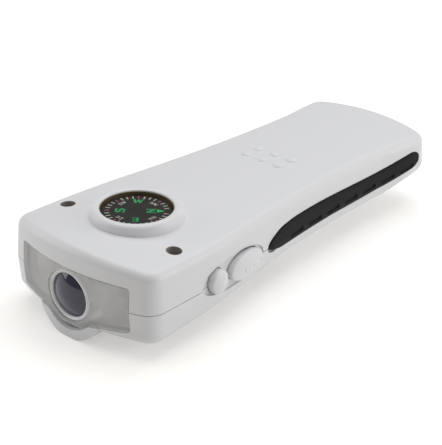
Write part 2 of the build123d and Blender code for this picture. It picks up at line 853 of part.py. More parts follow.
with BuildPart() as led_board:
    with BuildSketch(front_plane(0, led_board_y, 0)) as card:
        low, high = floor_z(led_board_y + led_board_thickness) + 0.1, compass_bore_floor_z - wall - 0.1
        with Locations((0, (low + high) / 2)):
            RectangleRounded(2 * (bowl_offset + 4), high - low, 1)
    extrude(card.sketch, amount=-led_board_thickness)
led_board.part.label = "led_board"
export_step(led_board.part, "parts/led_board.step")

# ---------------------------------------------------------------- compass

case_radius = compass_bore_radius - compass_fit
case_inner = case_radius - compass_case_wall
case_low_z = compass_bore_floor_z + 0.03
case_high_z = compass_ring_top_z - 0.4
case_floor_z = case_low_z + compass_case_floor

with BuildPart() as compass_case:
    post(0, compass_y, case_low_z, case_high_z, case_radius)
    post(0, compass_y, case_floor_z, case_high_z, case_inner, Mode.SUBTRACT)
compass_case.part.label = "compass_case"
export_step(compass_case.part, "parts/compass_case.step")

hub_low_z = compass_card_z - 1.8
hub_high_z = compass_card_z + compass_card_thickness + 0.25
pin_top_z = compass_card_z + 0.15

with BuildPart() as compass_pivot:
    post(0, compass_y, case_floor_z, case_floor_z + 0.6, 1.6)
    post(0, compass_y, case_floor_z, pin_top_z - 0.5, compass_pin_radius)
    with Locations((0, compass_y, pin_top_z - 0.5)):
        Cone(compass_pin_radius, 0.08, 0.5, align=(Align.CENTER, Align.CENTER, Align.MIN))
compass_pivot.part.label = "compass_pivot"
export_step(compass_pivot.part, "parts/compass_pivot.step")

with BuildPart() as compass_card:
    post(0, compass_y, compass_card_z, compass_card_z + compass_card_thickness, compass_card_radius)
    post(0, compass_y, hub_low_z, hub_high_z, 1.1)
    pin_hole = compass_pin_radius + compass_pin_clearance
    post(0, compass_y, hub_low_z, pin_top_z + 0.05, pin_hole, Mode.SUBTRACT)
compass_card.part.label = "compass_card"
export_step(compass_card.part, "parts/compass_card.step")

with BuildPart() as compass_magnet:
    with BuildSketch(Plane.XY.offset(compass_card_z - compass_magnet_height)) as bar:
        with Locations(Location((0, compass_y, 0), (0, 0, 41))):
            Rectangle(compass_magnet_width, compass_magnet_length)
        with Locations((0, compass_y)):
            Circle(1.12, mode=Mode.SUBTRACT)
    extrude(bar.sketch, amount=compass_magnet_height - 0.01)
compass_magnet.part.label = "compass_magnet"
export_step(compass_magnet.part, "parts/compass_magnet.step")

with BuildPart() as compass_cover:
    cover_radius = case_inner - 0.05
    cover_low_z = case_high_z - compass_cover_thickness
    dome = (cover_radius ** 2 + compass_cover_dome ** 2) / (2 * compass_cover_dome)
    with BuildSketch(Plane.XZ.offset(-compass_y)) as cover_half:
        with BuildLine():
            half = cover_radius / 2
            crest_z = case_high_z + compass_cover_dome
            Polyline((0, crest_z), (0, cover_low_z), (cover_radius, cover_low_z), (cover_radius, case_high_z))
            ThreePointArc((cover_radius, case_high_z), (half, crest_z - bow(dome, half)), (0, crest_z))
        make_face()
    revolve(cover_half.sketch, axis=Axis((0, compass_y, 0), (0, 0, 1)))
compass_cover.part.label = "compass_cover"
export_step(compass_cover.part, "parts/compass_cover.step")

# ---------------------------------------------------------------- buttons and switches


def flange_face_x(y, length):
    """Where a button's flange lies against the inside of the drafted side wall."""
    rear = y + length / 2 + button_flange
    fall = tan(radians(draft)) * (rear_button_height / 2 + button_flange + 1)
    return side_x(rear) - wall - fall - 0.05


def button_form(y, length, height):
    """An oval button with a face turned like the side wall, on a flange that keeps it in."""
    face_x = flange_face_x(y, length)
    front_x, rear_x = [side_x(y + end * length) + button_stand_out for end in (-1, 1)]
    with BuildPart() as form:
        extrude(side_ellipse(y, length, height, face_x - 0.2), amount=far)
        with BuildSketch() as reach:
            with BuildLine():
                Polyline((0, y - length), (front_x, y - length), (rear_x, y + length), (0, y + length), close=True)
            make_face()
        extrude(reach.sketch, amount=far, mode=Mode.INTERSECT)
        fillet(form.faces().sort_by(Axis.X)[-1].edges(), button_edge)
        wide, tall = length + 2 * button_flange, height + 2 * button_flange
        extrude(side_ellipse(y, wide, tall, face_x), amount=-button_flange_thickness)
    return form.part


with BuildPart() as front_button:
    add(button_form(front_button_y, front_button_length, front_button_height))
front_button.part.label = "front_button"
export_step(front_button.part, "parts/front_button.step")

with BuildPart() as rear_button:
    add(button_form(rear_button_y, rear_button_length, rear_button_height))
    for step in (-1, 0, 1):
        y = dimples_y + step * dimple_pitch
        ball = dimple_radius * 1.6
        with Locations((side_x(y) + button_stand_out + ball - dimple_depth, y, dimples_z)):
            Sphere(ball, mode=Mode.SUBTRACT)
rear_button.part.label = "rear_button"
export_step(rear_button.part, "parts/rear_button.step")

board_top_z = board_z + board_thickness

for place, (y, length, height) in zip(("front", "rear"), buttons):
    flange_x = flange_face_x(y, length) - button_flange_thickness
    body_x = flange_x - 0.9
    with BuildPart() as switch_plunger:
        with BuildSketch(Plane.YZ.offset(flange_x - 0.01)) as stem:
            with Locations((y, button_z)):
                Circle(plunger_radius)
        extrude(stem.sketch, amount=-1.9)
    switch_plunger.part.label = f"{place}_switch_plunger"
    export_step(switch_plunger.part, f"parts/{place}_switch_plunger.step")
    with BuildPart() as switch:
        with BuildSketch(Plane.YZ.offset(body_x)) as body:
            with Locations((y, board_top_z + switch_height / 2)):
                RectangleRounded(switch_length, switch_height, 0.4)
        extrude(body.sketch, amount=-switch_depth)
        with BuildSketch(Plane.YZ.offset(body_x)) as well:
            with Locations((y, button_z)):
                Circle(plunger_radius + 0.08)
        extrude(well.sketch, amount=-1.7, mode=Mode.SUBTRACT)
    switch.part.label = f"{place}_switch"
    export_step(switch.part, f"parts/{place}_switch.step")

# ---------------------------------------------------------------- grips

grip_slots = [grip_slot_start_y + slot * grip_slot_pitch for slot in range(grip_slot_count)]


with BuildPart() as slots:
    with BuildSketch(Plane.YZ.offset(far)) as row:
        for y in grip_slots:
            with Locations((y, grip_slot_z)):
                SlotOverall(grip_slot_length, grip_slot_height)
    extrude(row.sketch, amount=4 - far)
    add(housing_block(grip_slot_depth - grip_stand_out), mode=Mode.SUBTRACT)

with BuildPart() as grip_right:
    add(grip_space())
    add(housing_block(-grip_stand_out), mode=Mode.INTERSECT)
    add(slots.part, mode=Mode.SUBTRACT)
grip_right.part.label = "grip_right"
export_step(grip_right.part, "parts/grip_right.step")

with BuildPart() as grip_left:
    add(mirror(grip_right.part, about=Plane.YZ, mode=Mode.PRIVATE))
grip_left.part.label = "grip_left"
export_step(grip_left.part, "parts/grip_left.step")

# ---------------------------------------------------------------- crank

knob_axis_z = arm_height / 2

with BuildPart() as crank_arm:
    with BuildSketch() as arm_plan:
        Circle(hub_radius)
        with Locations((0, arm_tip_y - arm_tip_radius)):
            Circle(arm_tip_radius)
        make_hull()
    extrude(arm_plan.sketch, amount=arm_height)
    fillet(crank_arm.edges().group_by(Axis.Z)[0], 0.8)
    fillet(crank_arm.edges().group_by(Axis.Z)[-1], 0.5)
    post(0, 0, arm_height - 1, hub_height, hub_radius - 0.6)
    with BuildSketch(Plane.XY) as slot:
        slot_tip_y = crank_fold_y + post_eye_radius + 0.3
        with Locations((0, (slot_hub_y + slot_tip_y) / 2)):
            RectangleRounded(2 * slot_half_width, slot_tip_y - slot_hub_y, 1)
    extrude(slot.sketch, amount=arm_height, mode=Mode.SUBTRACT)
    post(0, 0, 1.2, hub_height, shaft_radius + 0.01, Mode.SUBTRACT)
    pin_reach = slot_half_width + 2.6
    with BuildSketch(Plane.YZ.offset(-pin_reach)) as pin_hole:
        with Locations((crank_fold_y, knob_axis_z)):
            Circle(hinge_pin_radius + 0.01)
    extrude(pin_hole.sketch, amount=2 * pin_reach, mode=Mode.SUBTRACT)
crank_arm.part.label = "crank_arm"
export_step(crank_arm.part, "parts/crank_arm.step")

with BuildPart() as knob_hinge_pin:
    with BuildSketch(Plane.YZ.offset(-pin_reach + 0.05)) as pin:
        with Locations((crank_fold_y, knob_axis_z)):
            Circle(hinge_pin_radius)
    extrude(pin.sketch, amount=2 * pin_reach - 0.1)
knob_hinge_pin.part.label = "knob_hinge_pin"
export_step(knob_hinge_pin.part, "parts/knob_hinge_pin.step")

knob_top_y = crank_fold_y - knob_start
knob_end_y = knob_top_y - knob_length


def rod(start_y, end_y, radius, mode=Mode.ADD):
    """A round length lying along the folded knob's axis."""
    with BuildSketch(front_plane(0, start_y, knob_axis_z)) as disc:
        Circle(radius)
    extrude(disc.sketch, amount=start_y - end_y, mode=mode)


with BuildPart() as knob_post:
    eye_half_width = slot_half_width - 0.25
    with BuildSketch(Plane.YZ.offset(-eye_half_width)) as eye:
        with Locations((crank_fold_y, knob_axis_z)):
            Circle(post_eye_radius)
        with Locations((crank_fold_y - knob_start / 2 + 0.05, knob_axis_z)):
            Rectangle(knob_start - 0.1, 2 * post_eye_radius)
        with Locations((crank_fold_y, knob_axis_z)):
            Circle(hinge_pin_radius + running_clearance, mode=Mode.SUBTRACT)
    extrude(eye.sketch, amount=2 * eye_half_width)
    rod(knob_top_y + 0.2, knob_end_y - 0.1, post_radius)
    rod(knob_end_y - 0.1, knob_end_y - 0.1 - post_head_length, post_head_radius)
knob_post.part.label = "knob_post"
export_step(knob_post.part, "parts/knob_post.step")

with BuildPart() as crank_knob:
    rod(knob_top_y, knob_end_y, knob_radius)
    chamfer(crank_knob.edges(), knob_edge)
    rod(knob_top_y, knob_end_y, post_radius + knob_bore_clearance, Mode.SUBTRACT)
    for number in range(1, knob_grooves + 1):
        y = knob_top_y - number * knob_length / (knob_grooves + 1)
        with BuildSketch(front_plane(0, y, knob_axis_z)) as groove:
            Circle(knob_radius + 1)
            Circle(knob_radius - knob_groove_depth, mode=Mode.SUBTRACT)
        extrude(groove.sketch, amount=knob_groove_width, mode=Mode.SUBTRACT)
crank_knob.part.label = "crank_knob"
export_step(crank_knob.part, "parts/crank_knob.step")

bush_low_z = underside_z(0) - bush_flange_thickness

with BuildPart() as crank_bush:
    ring(0, 0, bush_low_z, bush_top, bush_radius, shaft_radius + running_clearance)
    ring(0, 0, bush_low_z, underside_z(0) - 0.02, bush_flange_radius, bush_radius - 1)
crank_bush.part.label = "crank_bush"
export_step(crank_bush.part, "parts/crank_bush.step")

flat_low_z = bush_top + 0.05
shoulder_z = crank_gear_z + crank_gear_thickness + 0.25

with BuildPart() as crank_shaft:
    post(0, 0, 1.2, shoulder_z, shaft_radius)
    with BuildSketch(Plane.XY.offset(flat_low_z)) as flat:
        with Locations((shaft_flat_x + shaft_radius, 0)):
            Rectangle(2 * shaft_radius, 4 * shaft_radius)
    extrude(flat.sketch, amount=shoulder_z - flat_low_z, mode=Mode.SUBTRACT)
    post(0, 0, shoulder_z, axle_high_z, shaft_stub_radius)
crank_shaft.part.label = "crank_shaft"
export_step(crank_shaft.part, "parts/crank_shaft.step")

with BuildPart() as shaft_clip:
    with BuildSketch(Plane.XY.offset(shoulder_z + 0.02)) as washer:
        Circle(shaft_radius + 1.4)
        Circle(shaft_stub_radius + 0.02, mode=Mode.SUBTRACT)
        with Locations((0, -shaft_radius)):
            Rectangle(shaft_stub_radius * 1.4, 2 * shaft_radius, mode=Mode.SUBTRACT)
    extrude(washer.sketch, amount=0.6)
shaft_clip.part.label = "shaft_clip"
export_step(shaft_clip.part, "parts/shaft_clip.step")

# ---------------------------------------------------------------- gear train

first_bearing = bearing((0, 0), first_axis)
second_bearing = bearing(first_axis, second_axis)
third_bearing = bearing(second_axis, rotor_axis)
crank_gear_high_z = crank_gear_z + crank_gear_thickness
second_wheel_high_z = second_wheel_z + second_wheel_thickness
first_wheel_high_z = first_wheel_z + first_wheel_thickness

with BuildPart() as drive_gear:
    toothed((0, 0), crank_teeth, crank_module, first_bearing, crank_gear_z, crank_gear_high_z)
    with PolarLocations(8.6, 6):
        with Locations((0, 0, crank_gear_z)):
            Cylinder(2.4, 2 * crank_gear_thickness + 1, mode=Mode.SUBTRACT)
    post(0, 0, flat_low_z, shoulder_z, shaft_radius + 1.6)
    with BuildSketch(Plane.XY.offset(flat_low_z)) as bore:
        Circle(shaft_radius + 0.01)
        with Locations((shaft_flat_x + 0.01 + shaft_radius, 0)):
            Rectangle(2 * shaft_radius, 4 * shaft_radius, mode=Mode.SUBTRACT)
    extrude(bore.sketch, amount=shoulder_z - flat_low_z, mode=Mode.SUBTRACT)
drive_gear.part.label = "drive_gear"
export_step(drive_gear.part, "parts/drive_gear.step")

with BuildPart() as first_gear:
    pinion_phase = first_bearing + 180 + 180 / first_pinion_teeth
    pinion_low_z = crank_gear_z - pinion_margin
    toothed(
        first_axis, first_pinion_teeth, crank_module, pinion_phase, pinion_low_z, crank_gear_high_z + pinion_margin
    )
    toothed(
        first_axis, first_wheel_teeth, second_module, second_bearing, first_wheel_z, first_wheel_high_z
    )
    post(*first_axis, crank_gear_high_z, first_wheel_z, neck_radius)
    post(*first_axis, first_wheel_high_z, plate_z - 0.1, first_axle_radius + 0.7)
    post(*first_axis, pinion_low_z, plate_z, first_axle_radius + running_clearance, Mode.SUBTRACT)
first_gear.part.label = "first_gear"
export_step(first_gear.part, "parts/first_gear.step")

with BuildPart() as second_gear:
    pinion_phase = second_bearing + 180 + 180 / second_pinion_teeth
    pinion_high_z = first_wheel_high_z + pinion_margin
    toothed(
        second_axis, second_wheel_teeth, third_module, third_bearing, second_wheel_z, second_wheel_high_z
    )
    toothed(
        second_axis, second_pinion_teeth, second_module, pinion_phase, second_wheel_high_z - 0.1, pinion_high_z
    )
    post(*second_axis, can_high_z + 0.1, second_wheel_z, second_axle_radius + 0.7)
    post(*second_axis, can_high_z, plate_z, second_axle_radius + running_clearance, Mode.SUBTRACT)
second_gear.part.label = "second_gear"
export_step(second_gear.part, "parts/second_gear.step")

with BuildPart() as rotor_pinion:
    pinion_phase = third_bearing + 180 + 180 / rotor_pinion_teeth
    toothed(
        rotor_axis, rotor_pinion_teeth, third_module, pinion_phase, second_wheel_z - 0.2, second_wheel_high_z + 0.2
    )
    post(*rotor_axis, can_high_z, plate_z, second_axle_radius + 0.01, Mode.SUBTRACT)
rotor_pinion.part.label = "rotor_pinion"
export_step(rotor_pinion.part, "parts/rotor_pinion.step")

with BuildPart() as first_axle:
    post(*first_axis, floor_z(0) + 0.02, axle_high_z, first_axle_radius)
first_axle.part.label = "first_axle"
export_step(first_axle.part, "parts/first_axle.step")

with BuildPart() as second_axle:
    post(*second_axis, can_high_z + 0.02, axle_high_z, second_axle_radius)
second_axle.part.label = "second_axle"
export_step(second_axle.part, "parts/second_axle.step")

with BuildPart() as rotor_shaft:
    post(*rotor_axis, can_low_z, axle_high_z, second_axle_radius)
rotor_shaft.part.label = "rotor_shaft"
export_step(rotor_shaft.part, "parts/rotor_shaft.step")

with BuildPart() as gearbox_plate:
    with BuildSketch(Plane.XY.offset(plate_z)) as sheet:
        back_y, front_edge_y = plate_posts[3][1] + 3, -shaft_stub_radius - 2.5
        with Locations((0, (back_y + front_edge_y) / 2)):
            RectangleRounded(2 * (plate_posts[0][0] + 2.5), back_y - front_edge_y, 4)
        holes = [((0, 0), shaft_stub_radius + running_clearance)]
        holes += [(first_axis, first_axle_radius + 0.01), (second_axis, second_axle_radius + 0.01)]
        holes += [(rotor_axis, second_axle_radius + running_clearance)]
        holes += [(place, plate_screw_shank + 0.1) for place in plate_posts]
        for place, radius in holes:
            with Locations(place):
                Circle(radius, mode=Mode.SUBTRACT)
    extrude(sheet.sketch, amount=plate_thickness)
gearbox_plate.part.label = "gearbox_plate"
export_step(gearbox_plate.part, "parts/gearbox_plate.step")

with BuildPart() as gearbox_screws:
    for x, y in plate_posts:
        screw(x, y, plate_high_z, plate_z - 4.5, plate_screw_head, plate_screw_shank, 1.0)
gearbox_screws.part.label = "gearbox_screws"
export_step(gearbox_screws.part, "parts/gearbox_screws.step")

# ---------------------------------------------------------------- generator

cup_high_z = can_high_z - can_wall

with BuildPart() as stator_cup:
    post(*rotor_axis, can_low_z, cup_high_z, can_radius)
    post(*rotor_axis, can_low_z + can_wall, cup_high_z, can_radius - can_wall, Mode.SUBTRACT)
    post(*rotor_axis, can_low_z, can_low_z + can_wall, second_axle_radius + running_clearance, Mode.SUBTRACT)
stator_cup.part.label = "stator_cup"
export_step(stator_cup.part, "parts/stator_cup.step")

with BuildPart() as stator_plate:
    ring(*rotor_axis, cup_high_z, can_high_z, can_radius, second_axle_radius + running_clearance)
stator_plate.part.label = "stator_plate"
export_step(stator_plate.part, "parts/stator_plate.step")

with BuildPart() as stator_coil:
    coil_outer = can_radius - can_wall - 0.1
    ring(*rotor_axis, can_low_z + can_wall + 0.05, cup_high_z - 0.1, coil_outer, coil_inner_radius)
stator_coil.part.label = "stator_coil"
export_step(stator_coil.part, "parts/stator_coil.step")

with BuildPart() as rotor_magnet:
    low, high = can_low_z + can_wall + magnet_gap, cup_high_z - magnet_gap
    ring(*rotor_axis, low, high, magnet_radius, second_axle_radius + 0.01)
rotor_magnet.part.label = "rotor_magnet"
export_step(rotor_magnet.part, "parts/rotor_magnet.step")

# ---------------------------------------------------------------- boards, cells and screws

with BuildPart() as main_board:
    with BuildSketch(Plane.XY.offset(board_z)) as sheet:
        with Locations((0, (board_front_y + board_back_y) / 2)):
            Rectangle(2 * board_half_width, board_back_y - board_front_y)
        with Locations(((board_arm_root_x + board_arm_x) / 2, (board_arm_front_y + board_arm_back_y) / 2)):
            Rectangle(board_arm_x - board_arm_root_x, board_arm_back_y - board_arm_front_y)
        for x, y in board_posts:
            with Locations((x, y)):
                Circle(peg_radius + 0.08, mode=Mode.SUBTRACT)
    extrude(sheet.sketch, amount=board_thickness)
main_board.part.label = "main_board"
export_step(main_board.part, "parts/main_board.step")

with BuildPart() as smoothing_capacitor:
    post(*capacitor_place, board_top_z, board_top_z + capacitor_height, capacitor_radius)
    chamfer(smoothing_capacitor.edges().group_by(Axis.Z)[-1], cell_edge)
smoothing_capacitor.part.label = "smoothing_capacitor"
export_step(smoothing_capacitor.part, "parts/smoothing_capacitor.step")

with BuildPart() as rectifier_diodes:
    with BuildSketch(Plane.XY.offset(board_top_z)) as diodes:
        with Locations((3, -44)):
            with GridLocations(4, 4, 2, 2):
                Rectangle(1.5, 3)
    extrude(diodes.sketch, amount=1.3)
rectifier_diodes.part.label = "rectifier_diodes"
export_step(rectifier_diodes.part, "parts/rectifier_diodes.step")

with BuildPart() as control_chip:
    with BuildSketch(Plane.XY.offset(board_top_z)) as chip:
        with Locations((-6, -43)):
            Rectangle(4, 5)
    extrude(chip.sketch, amount=1.5)
control_chip.part.label = "control_chip"
export_step(control_chip.part, "parts/control_chip.step")

for number in range(cell_count):
    x = battery_x + (number - (cell_count - 1) / 2) * (cell_length + cell_gap)
    with BuildPart() as battery_cell:
        with BuildSketch(Plane.YZ.offset(x - cell_length / 2)) as round_cell:
            with Locations((battery_y, battery_z)):
                Circle(cell_radius)
        extrude(round_cell.sketch, amount=cell_length)
        chamfer(battery_cell.edges().filter_by(GeomType.CIRCLE), cell_edge)
    battery_cell.part.label = f"battery_cell_{number + 1}"
    export_step(battery_cell.part, f"parts/battery_cell_{number + 1}.step")

with BuildPart() as battery_tabs:
    half_stack = (cell_count * cell_length + (cell_count - 1) * cell_gap) / 2
    for side in (-1, 1):
        with BuildSketch(Plane.YZ.offset(battery_x + side * (half_stack + 0.02))) as strip:
            with Locations((battery_y, battery_z + 1.5)):
                Rectangle(3, 7)
        extrude(strip.sketch, amount=side * 0.25)
battery_tabs.part.label = "battery_tabs"
export_step(battery_tabs.part, "parts/battery_tabs.step")

with BuildPart() as housing_screws:
    for side in (-1, 1):
        top_tip = lower_high_z - screw_tip_depth
        screw(
            side * top_well_x, top_well_y, top_well_floor_z, top_tip,
            screw_head_radius, screw_shank_radius, screw_head_height,
        )
        for x, y in ((side * waist_screw_x, waist_screw_y), (side * tail_screw_x, tail_screw_y)):
            screw(
                x, y, underside_z(y) + seat_height, upper_low_z + screw_tip_depth,
                screw_head_radius, screw_shank_radius, screw_head_height,
            )
housing_screws.part.label = "housing_screws"
export_step(housing_screws.part, "parts/housing_screws.step")
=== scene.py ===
"""Hand crank flashlight with a compass, dressed over the CAD frame.

Lengths in this file are millimetres until they are handed to Blender, which gets metres.
+Z is up through the compass, the beam leaves towards -Y and the buttons face +X.
"""

import bmesh
import bpy
import numpy as np
from mathutils import Matrix, Vector


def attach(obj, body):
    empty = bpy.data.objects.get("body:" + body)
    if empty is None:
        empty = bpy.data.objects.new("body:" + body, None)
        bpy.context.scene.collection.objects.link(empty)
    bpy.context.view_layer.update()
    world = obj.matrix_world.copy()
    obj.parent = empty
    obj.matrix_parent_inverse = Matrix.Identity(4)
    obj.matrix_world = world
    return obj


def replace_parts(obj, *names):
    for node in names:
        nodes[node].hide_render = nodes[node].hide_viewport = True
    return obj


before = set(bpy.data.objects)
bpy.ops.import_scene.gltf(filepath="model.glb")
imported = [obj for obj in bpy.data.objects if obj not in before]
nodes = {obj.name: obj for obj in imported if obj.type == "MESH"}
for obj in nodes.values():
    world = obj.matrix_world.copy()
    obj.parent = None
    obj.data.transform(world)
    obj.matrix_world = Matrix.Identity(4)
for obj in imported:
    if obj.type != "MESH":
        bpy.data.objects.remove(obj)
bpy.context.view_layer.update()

MM = 0.001

# Housing, as the solids have it
FRONT_Y, TAIL_Y = -74.2, 58.8
HEAD_END_Y, WAIST_Y = -58.0, 30.0
HEAD_X, WAIST_X = 26.2, 20.6
SHOULDER_SHARE = 0.341
TOP_FRONT_Z, TOP_TAIL_Z = 26.2, 23.4
CROWN_RADIUS = 200.0
UNDERSIDE_Z, TAIL_UNDERSIDE_Z, TAIL_RISE_Y = 7.3, 10.9, 38.0
PARTING_Z, PARTING_GAP = 13.7, 0.2
DRAFT = np.tan(np.radians(4.0))
EDGE_ROUND = 2.6
TAIL_BOW_RADIUS = 68.0
WELL_X, WELL_Y, WELL_RADIUS = 19.6, -54.6, 2.13
SKIN_LIFT = 0.03

# The photographed tail is longer, wider and squarer than the solids' tail
TAIL_START_Y, TAIL_FULL_Y = 34.0, 54.0
TAIL_SIDE_GROWTH, TAIL_END_GROWTH = 1.4, 3.0
TAIL_CORNER = 5.0

# How finely curves are stepped
CURVE_STEP, CURVE_LEAST_STEPS = 0.4, 8
TAIL_CORNER_STEPS, TAIL_END_STEPS, TAIL_EDGE_STEPS = 24, 30, 9
POLE_SHARE = 0.02


def bow(radius, x):
    """How far an arc of this radius falls back at x from its middle."""
    return radius - np.sqrt(radius**2 - x**2)


def smooth_step(share):
    """Rises from 0 to 1 with level ends."""
    share = np.clip(share, 0, 1)
    return share * share * (3 - 2 * share)


def tail_growth(y):
    """How much wider each side of the photographed tail is."""
    return TAIL_SIDE_GROWTH * smooth_step((y - TAIL_START_Y) / (TAIL_FULL_Y - TAIL_START_Y))


def side_x(y):
    """Half-width at the seam: straight head, two tangent arcs, straight handle, wider tail."""
    y = np.asarray(y, float)
    shoulder_y = HEAD_END_Y + SHOULDER_SHARE * (WAIST_Y - HEAD_END_Y)
    shoulder_x = HEAD_X - SHOULDER_SHARE * (HEAD_X - WAIST_X)
    first_run, first_fall = shoulder_y - HEAD_END_Y, HEAD_X - shoulder_x
    second_run, second_fall = WAIST_Y - shoulder_y, shoulder_x - WAIST_X
    first_radius = (first_run**2 + first_fall**2) / (2 * first_fall)
    second_radius = (second_run**2 + second_fall**2) / (2 * second_fall)
    first = HEAD_X - bow(first_radius, np.clip(y - HEAD_END_Y, 0, first_run))
    second = WAIST_X + bow(second_radius, np.clip(WAIST_Y - y, 0, second_run))
    return np.where(y < shoulder_y, first, second + tail_growth(y))


def top_z(x, y):
    """Height of the crowned top skin, which falls evenly from the lamp to the tail."""
    slope = (TOP_FRONT_Z - TOP_TAIL_Z) / (TAIL_Y - FRONT_Y)
    return TOP_FRONT_Z - slope * (y - FRONT_Y) - bow(CROWN_RADIUS, x)


def underside_z(y):
    """Height of the handle's underside, which rises towards the tail."""
    slope = (TAIL_UNDERSIDE_Z - UNDERSIDE_Z) / (TAIL_Y - TAIL_RISE_Y)
    return UNDERSIDE_Z + slope * np.clip(y - TAIL_RISE_Y, 0, None)


def tail_curve(start_y):
    """The right half of the tail seen from above, as (x, y) rows: side, round corner, bowed end.

    The corner's centre lies one corner radius inside both the side and the end's arc.
    """
    corner_x = WAIST_X + TAIL_SIDE_GROWTH - TAIL_CORNER
    end_middle_y = TAIL_Y + TAIL_END_GROWTH - TAIL_BOW_RADIUS
    rise = np.sqrt((TAIL_BOW_RADIUS - TAIL_CORNER) ** 2 - corner_x**2)
    corner_y = end_middle_y + rise
    lean = np.arctan2(corner_x, rise)
    y = np.linspace(start_y, corner_y, max(int((corner_y - start_y) / CURVE_STEP), CURVE_LEAST_STEPS))
    side = np.stack([side_x(y), y], axis=-1)
    turn = np.linspace(0, np.pi / 2 - lean, TAIL_CORNER_STEPS)[1:, None]
    centre = np.array([[corner_x, corner_y]])
    corner = centre + TAIL_CORNER * np.concatenate([np.cos(turn), np.sin(turn)], axis=1)
    sweep = np.linspace(lean, 0, TAIL_END_STEPS)[1:, None]
    middle = np.array([[0.0, end_middle_y]])
    end = middle + TAIL_BOW_RADIUS * np.concatenate([np.sin(sweep), np.cos(sweep)], axis=1)
    return np.concatenate([side, corner, end])


def outward(curve):
    """Unit normals of a plan curve that runs anticlockwise round the housing."""
    along = np.gradient(curve, axis=0)
    along /= np.linalg.norm(along, axis=1, keepdims=True)
    return np.stack([along[:, 1], -along[:, 0]], axis=-1)


# ---------------------------------------------------------------- materials


def linear(code):
    """An sRGB hex colour as linear red, green, blue and alpha."""
    srgb = np.array([int(code[i : i + 2], 16) for i in (1, 3, 5)]) / 255
    rgb = np.where(srgb <= 0.04045, srgb / 12.92, ((srgb + 0.055) / 1.055) ** 2.4)
    return (*(float(v) for v in rgb), 1.0)


def node(tree, kind, values=(), links=(), **settings):
    """Adds one shader node with its settings, its sockets' values and its incoming links."""
    made = tree.nodes.new(kind)
    for key, value in settings.items():
        setattr(made, key, value)
    for socket, value in values:
        made.inputs[socket].default_value = value
    for socket, source in links:
        tree.links.new(source, made.inputs[socket])
    return made


def principled(name, code, **settings):
    """A new material with one Principled shader, set by socket name."""
    material = bpy.data.materials.new(name)
    material.use_nodes = True
    shader = material.node_tree.nodes["Principled BSDF"]
    shader.inputs["Base Color"].default_value = linear(code)
    for key, value in settings.items():
        shader.inputs[key.replace("_", " ")].default_value = value
    return material, shader


def grained(name, code, grain_mm, height_mm, **settings):
    """A moulded surface whose fine grain has the given width and height."""
    material, shader = principled(name, code, **settings)
    tree = material.node_tree
    place = node(tree, "ShaderNodeTexCoord")
    grain = node(
        tree,
        "ShaderNodeTexNoise",
        [("Scale", 1 / (grain_mm * MM)), ("Detail", 1.0)],
        [("Vector", place.outputs["Object"])],
    )
    relief = node(
        tree, "ShaderNodeBump", [("Distance", height_mm * MM)], [("Height", grain.outputs["Fac"])]
    )
    tree.links.new(relief.outputs["Normal"], shader.inputs["Normal"])
    return material, shader, place


def in_screw_wells(tree, place):
    """A node that gives 1 within the radius of the two screw wells and 0 elsewhere; it masks their
    painted shade.

    The point is moved a metre towards -Y before its signs are dropped, so only X is mirrored.
    """
    metre = 1.0
    well = (WELL_X * MM, metre - WELL_Y * MM, 0.0)
    moved = node(
        tree,
        "ShaderNodeVectorMath",
        [(1, (0, -metre, 0))],
        [(0, place.outputs["Object"])],
        operation="ADD",
    )
    mirrored = node(tree, "ShaderNodeVectorMath", links=[(0, moved.outputs[0])], operation="ABSOLUTE")
    offset = node(
        tree, "ShaderNodeVectorMath", [(1, well)], [(0, mirrored.outputs[0])], operation="SUBTRACT"
    )
    level = node(
        tree, "ShaderNodeVectorMath", [(1, (1, 1, 0))], [(0, offset.outputs[0])], operation="MULTIPLY"
    )
    away = node(tree, "ShaderNodeVectorMath", links=[(0, level.outputs[0])], operation="LENGTH")
    return node(
        tree,
        "ShaderNodeMath",
        [(1, WELL_RADIUS * MM)],
        [(0, away.outputs["Value"])],
        operation="LESS_THAN",
    )


def moulded_abs():
    """White ABS moulding with the faint sparkle of its mould.

    Inside the two deep screw wells the colour is darkened to a painted shade, where the well walls stay
    in shadow.
    """
    # The darker colour is painted shade inside the two deep screw wells
    moulding_white, painted_well_shade = "#E4E5E8", "#A8A19D"
    material, shader, place = grained(
        "moulded_abs", moulding_white, 0.35, 0.004, Roughness=0.36, Specular_IOR_Level=0.45
    )
    tree = material.node_tree
    tint = node(
        tree,
        "ShaderNodeMix",
        [(6, linear(moulding_white)), (7, linear(painted_well_shade))],
        [(0, in_screw_wells(tree, place).outputs[0])],
        data_type="RGBA",
    )
    tree.links.new(tint.outputs[2], shader.inputs["Base Color"])
    return material


def soft_rubber():
    """Dark thermoplastic rubber of the grips: matt with a fine spark-eroded grain."""
    return grained("soft_rubber", "#111012", 0.3, 0.02, Roughness=0.66, Specular_IOR_Level=0.2)[0]


def clear_styrene():
    """The lamp's clear front: thin clear plastic with a slight milky haze at its moulded walls."""
    return principled("clear_styrene", "#F2F3F4", Roughness=0.06, IOR=1.59, Alpha=0.36)[0]


def compass_bubble():
    """The compass's thin clear cap: almost nothing but a faint gloss."""
    return principled("compass_bubble", "#101010", Roughness=0.05, IOR=1.49, Alpha=0.08)[0]


def led_epoxy():
    """Water-clear epoxy of a light-emitting diode."""
    return principled("led_epoxy", "#F6F4E4", Roughness=0.05, IOR=1.52, Transmission_Weight=0.7)[0]


def dark_lens():
    """A thick polished lens over a dark seat: it shows deep violet-blue with sharp gloss."""
    gloss = {"Roughness": 0.04, "IOR": 1.5, "Coat_Weight": 0.2, "Coat_Roughness": 0.03}
    return principled("dark_lens", "#2B2942", **gloss)[0]


def plated_reflector():
    """Vacuum-plated plastic, a slightly grey and slightly soft mirror."""
    return principled("plated_reflector", "#D6D7DA", Metallic=1.0, Roughness=0.2)[0]


def plain(name, code, roughness=0.5, metallic=0.0):
    """A plain moulded, printed or metal surface."""
    return principled(name, code, Roughness=roughness, Metallic=metallic)[0]


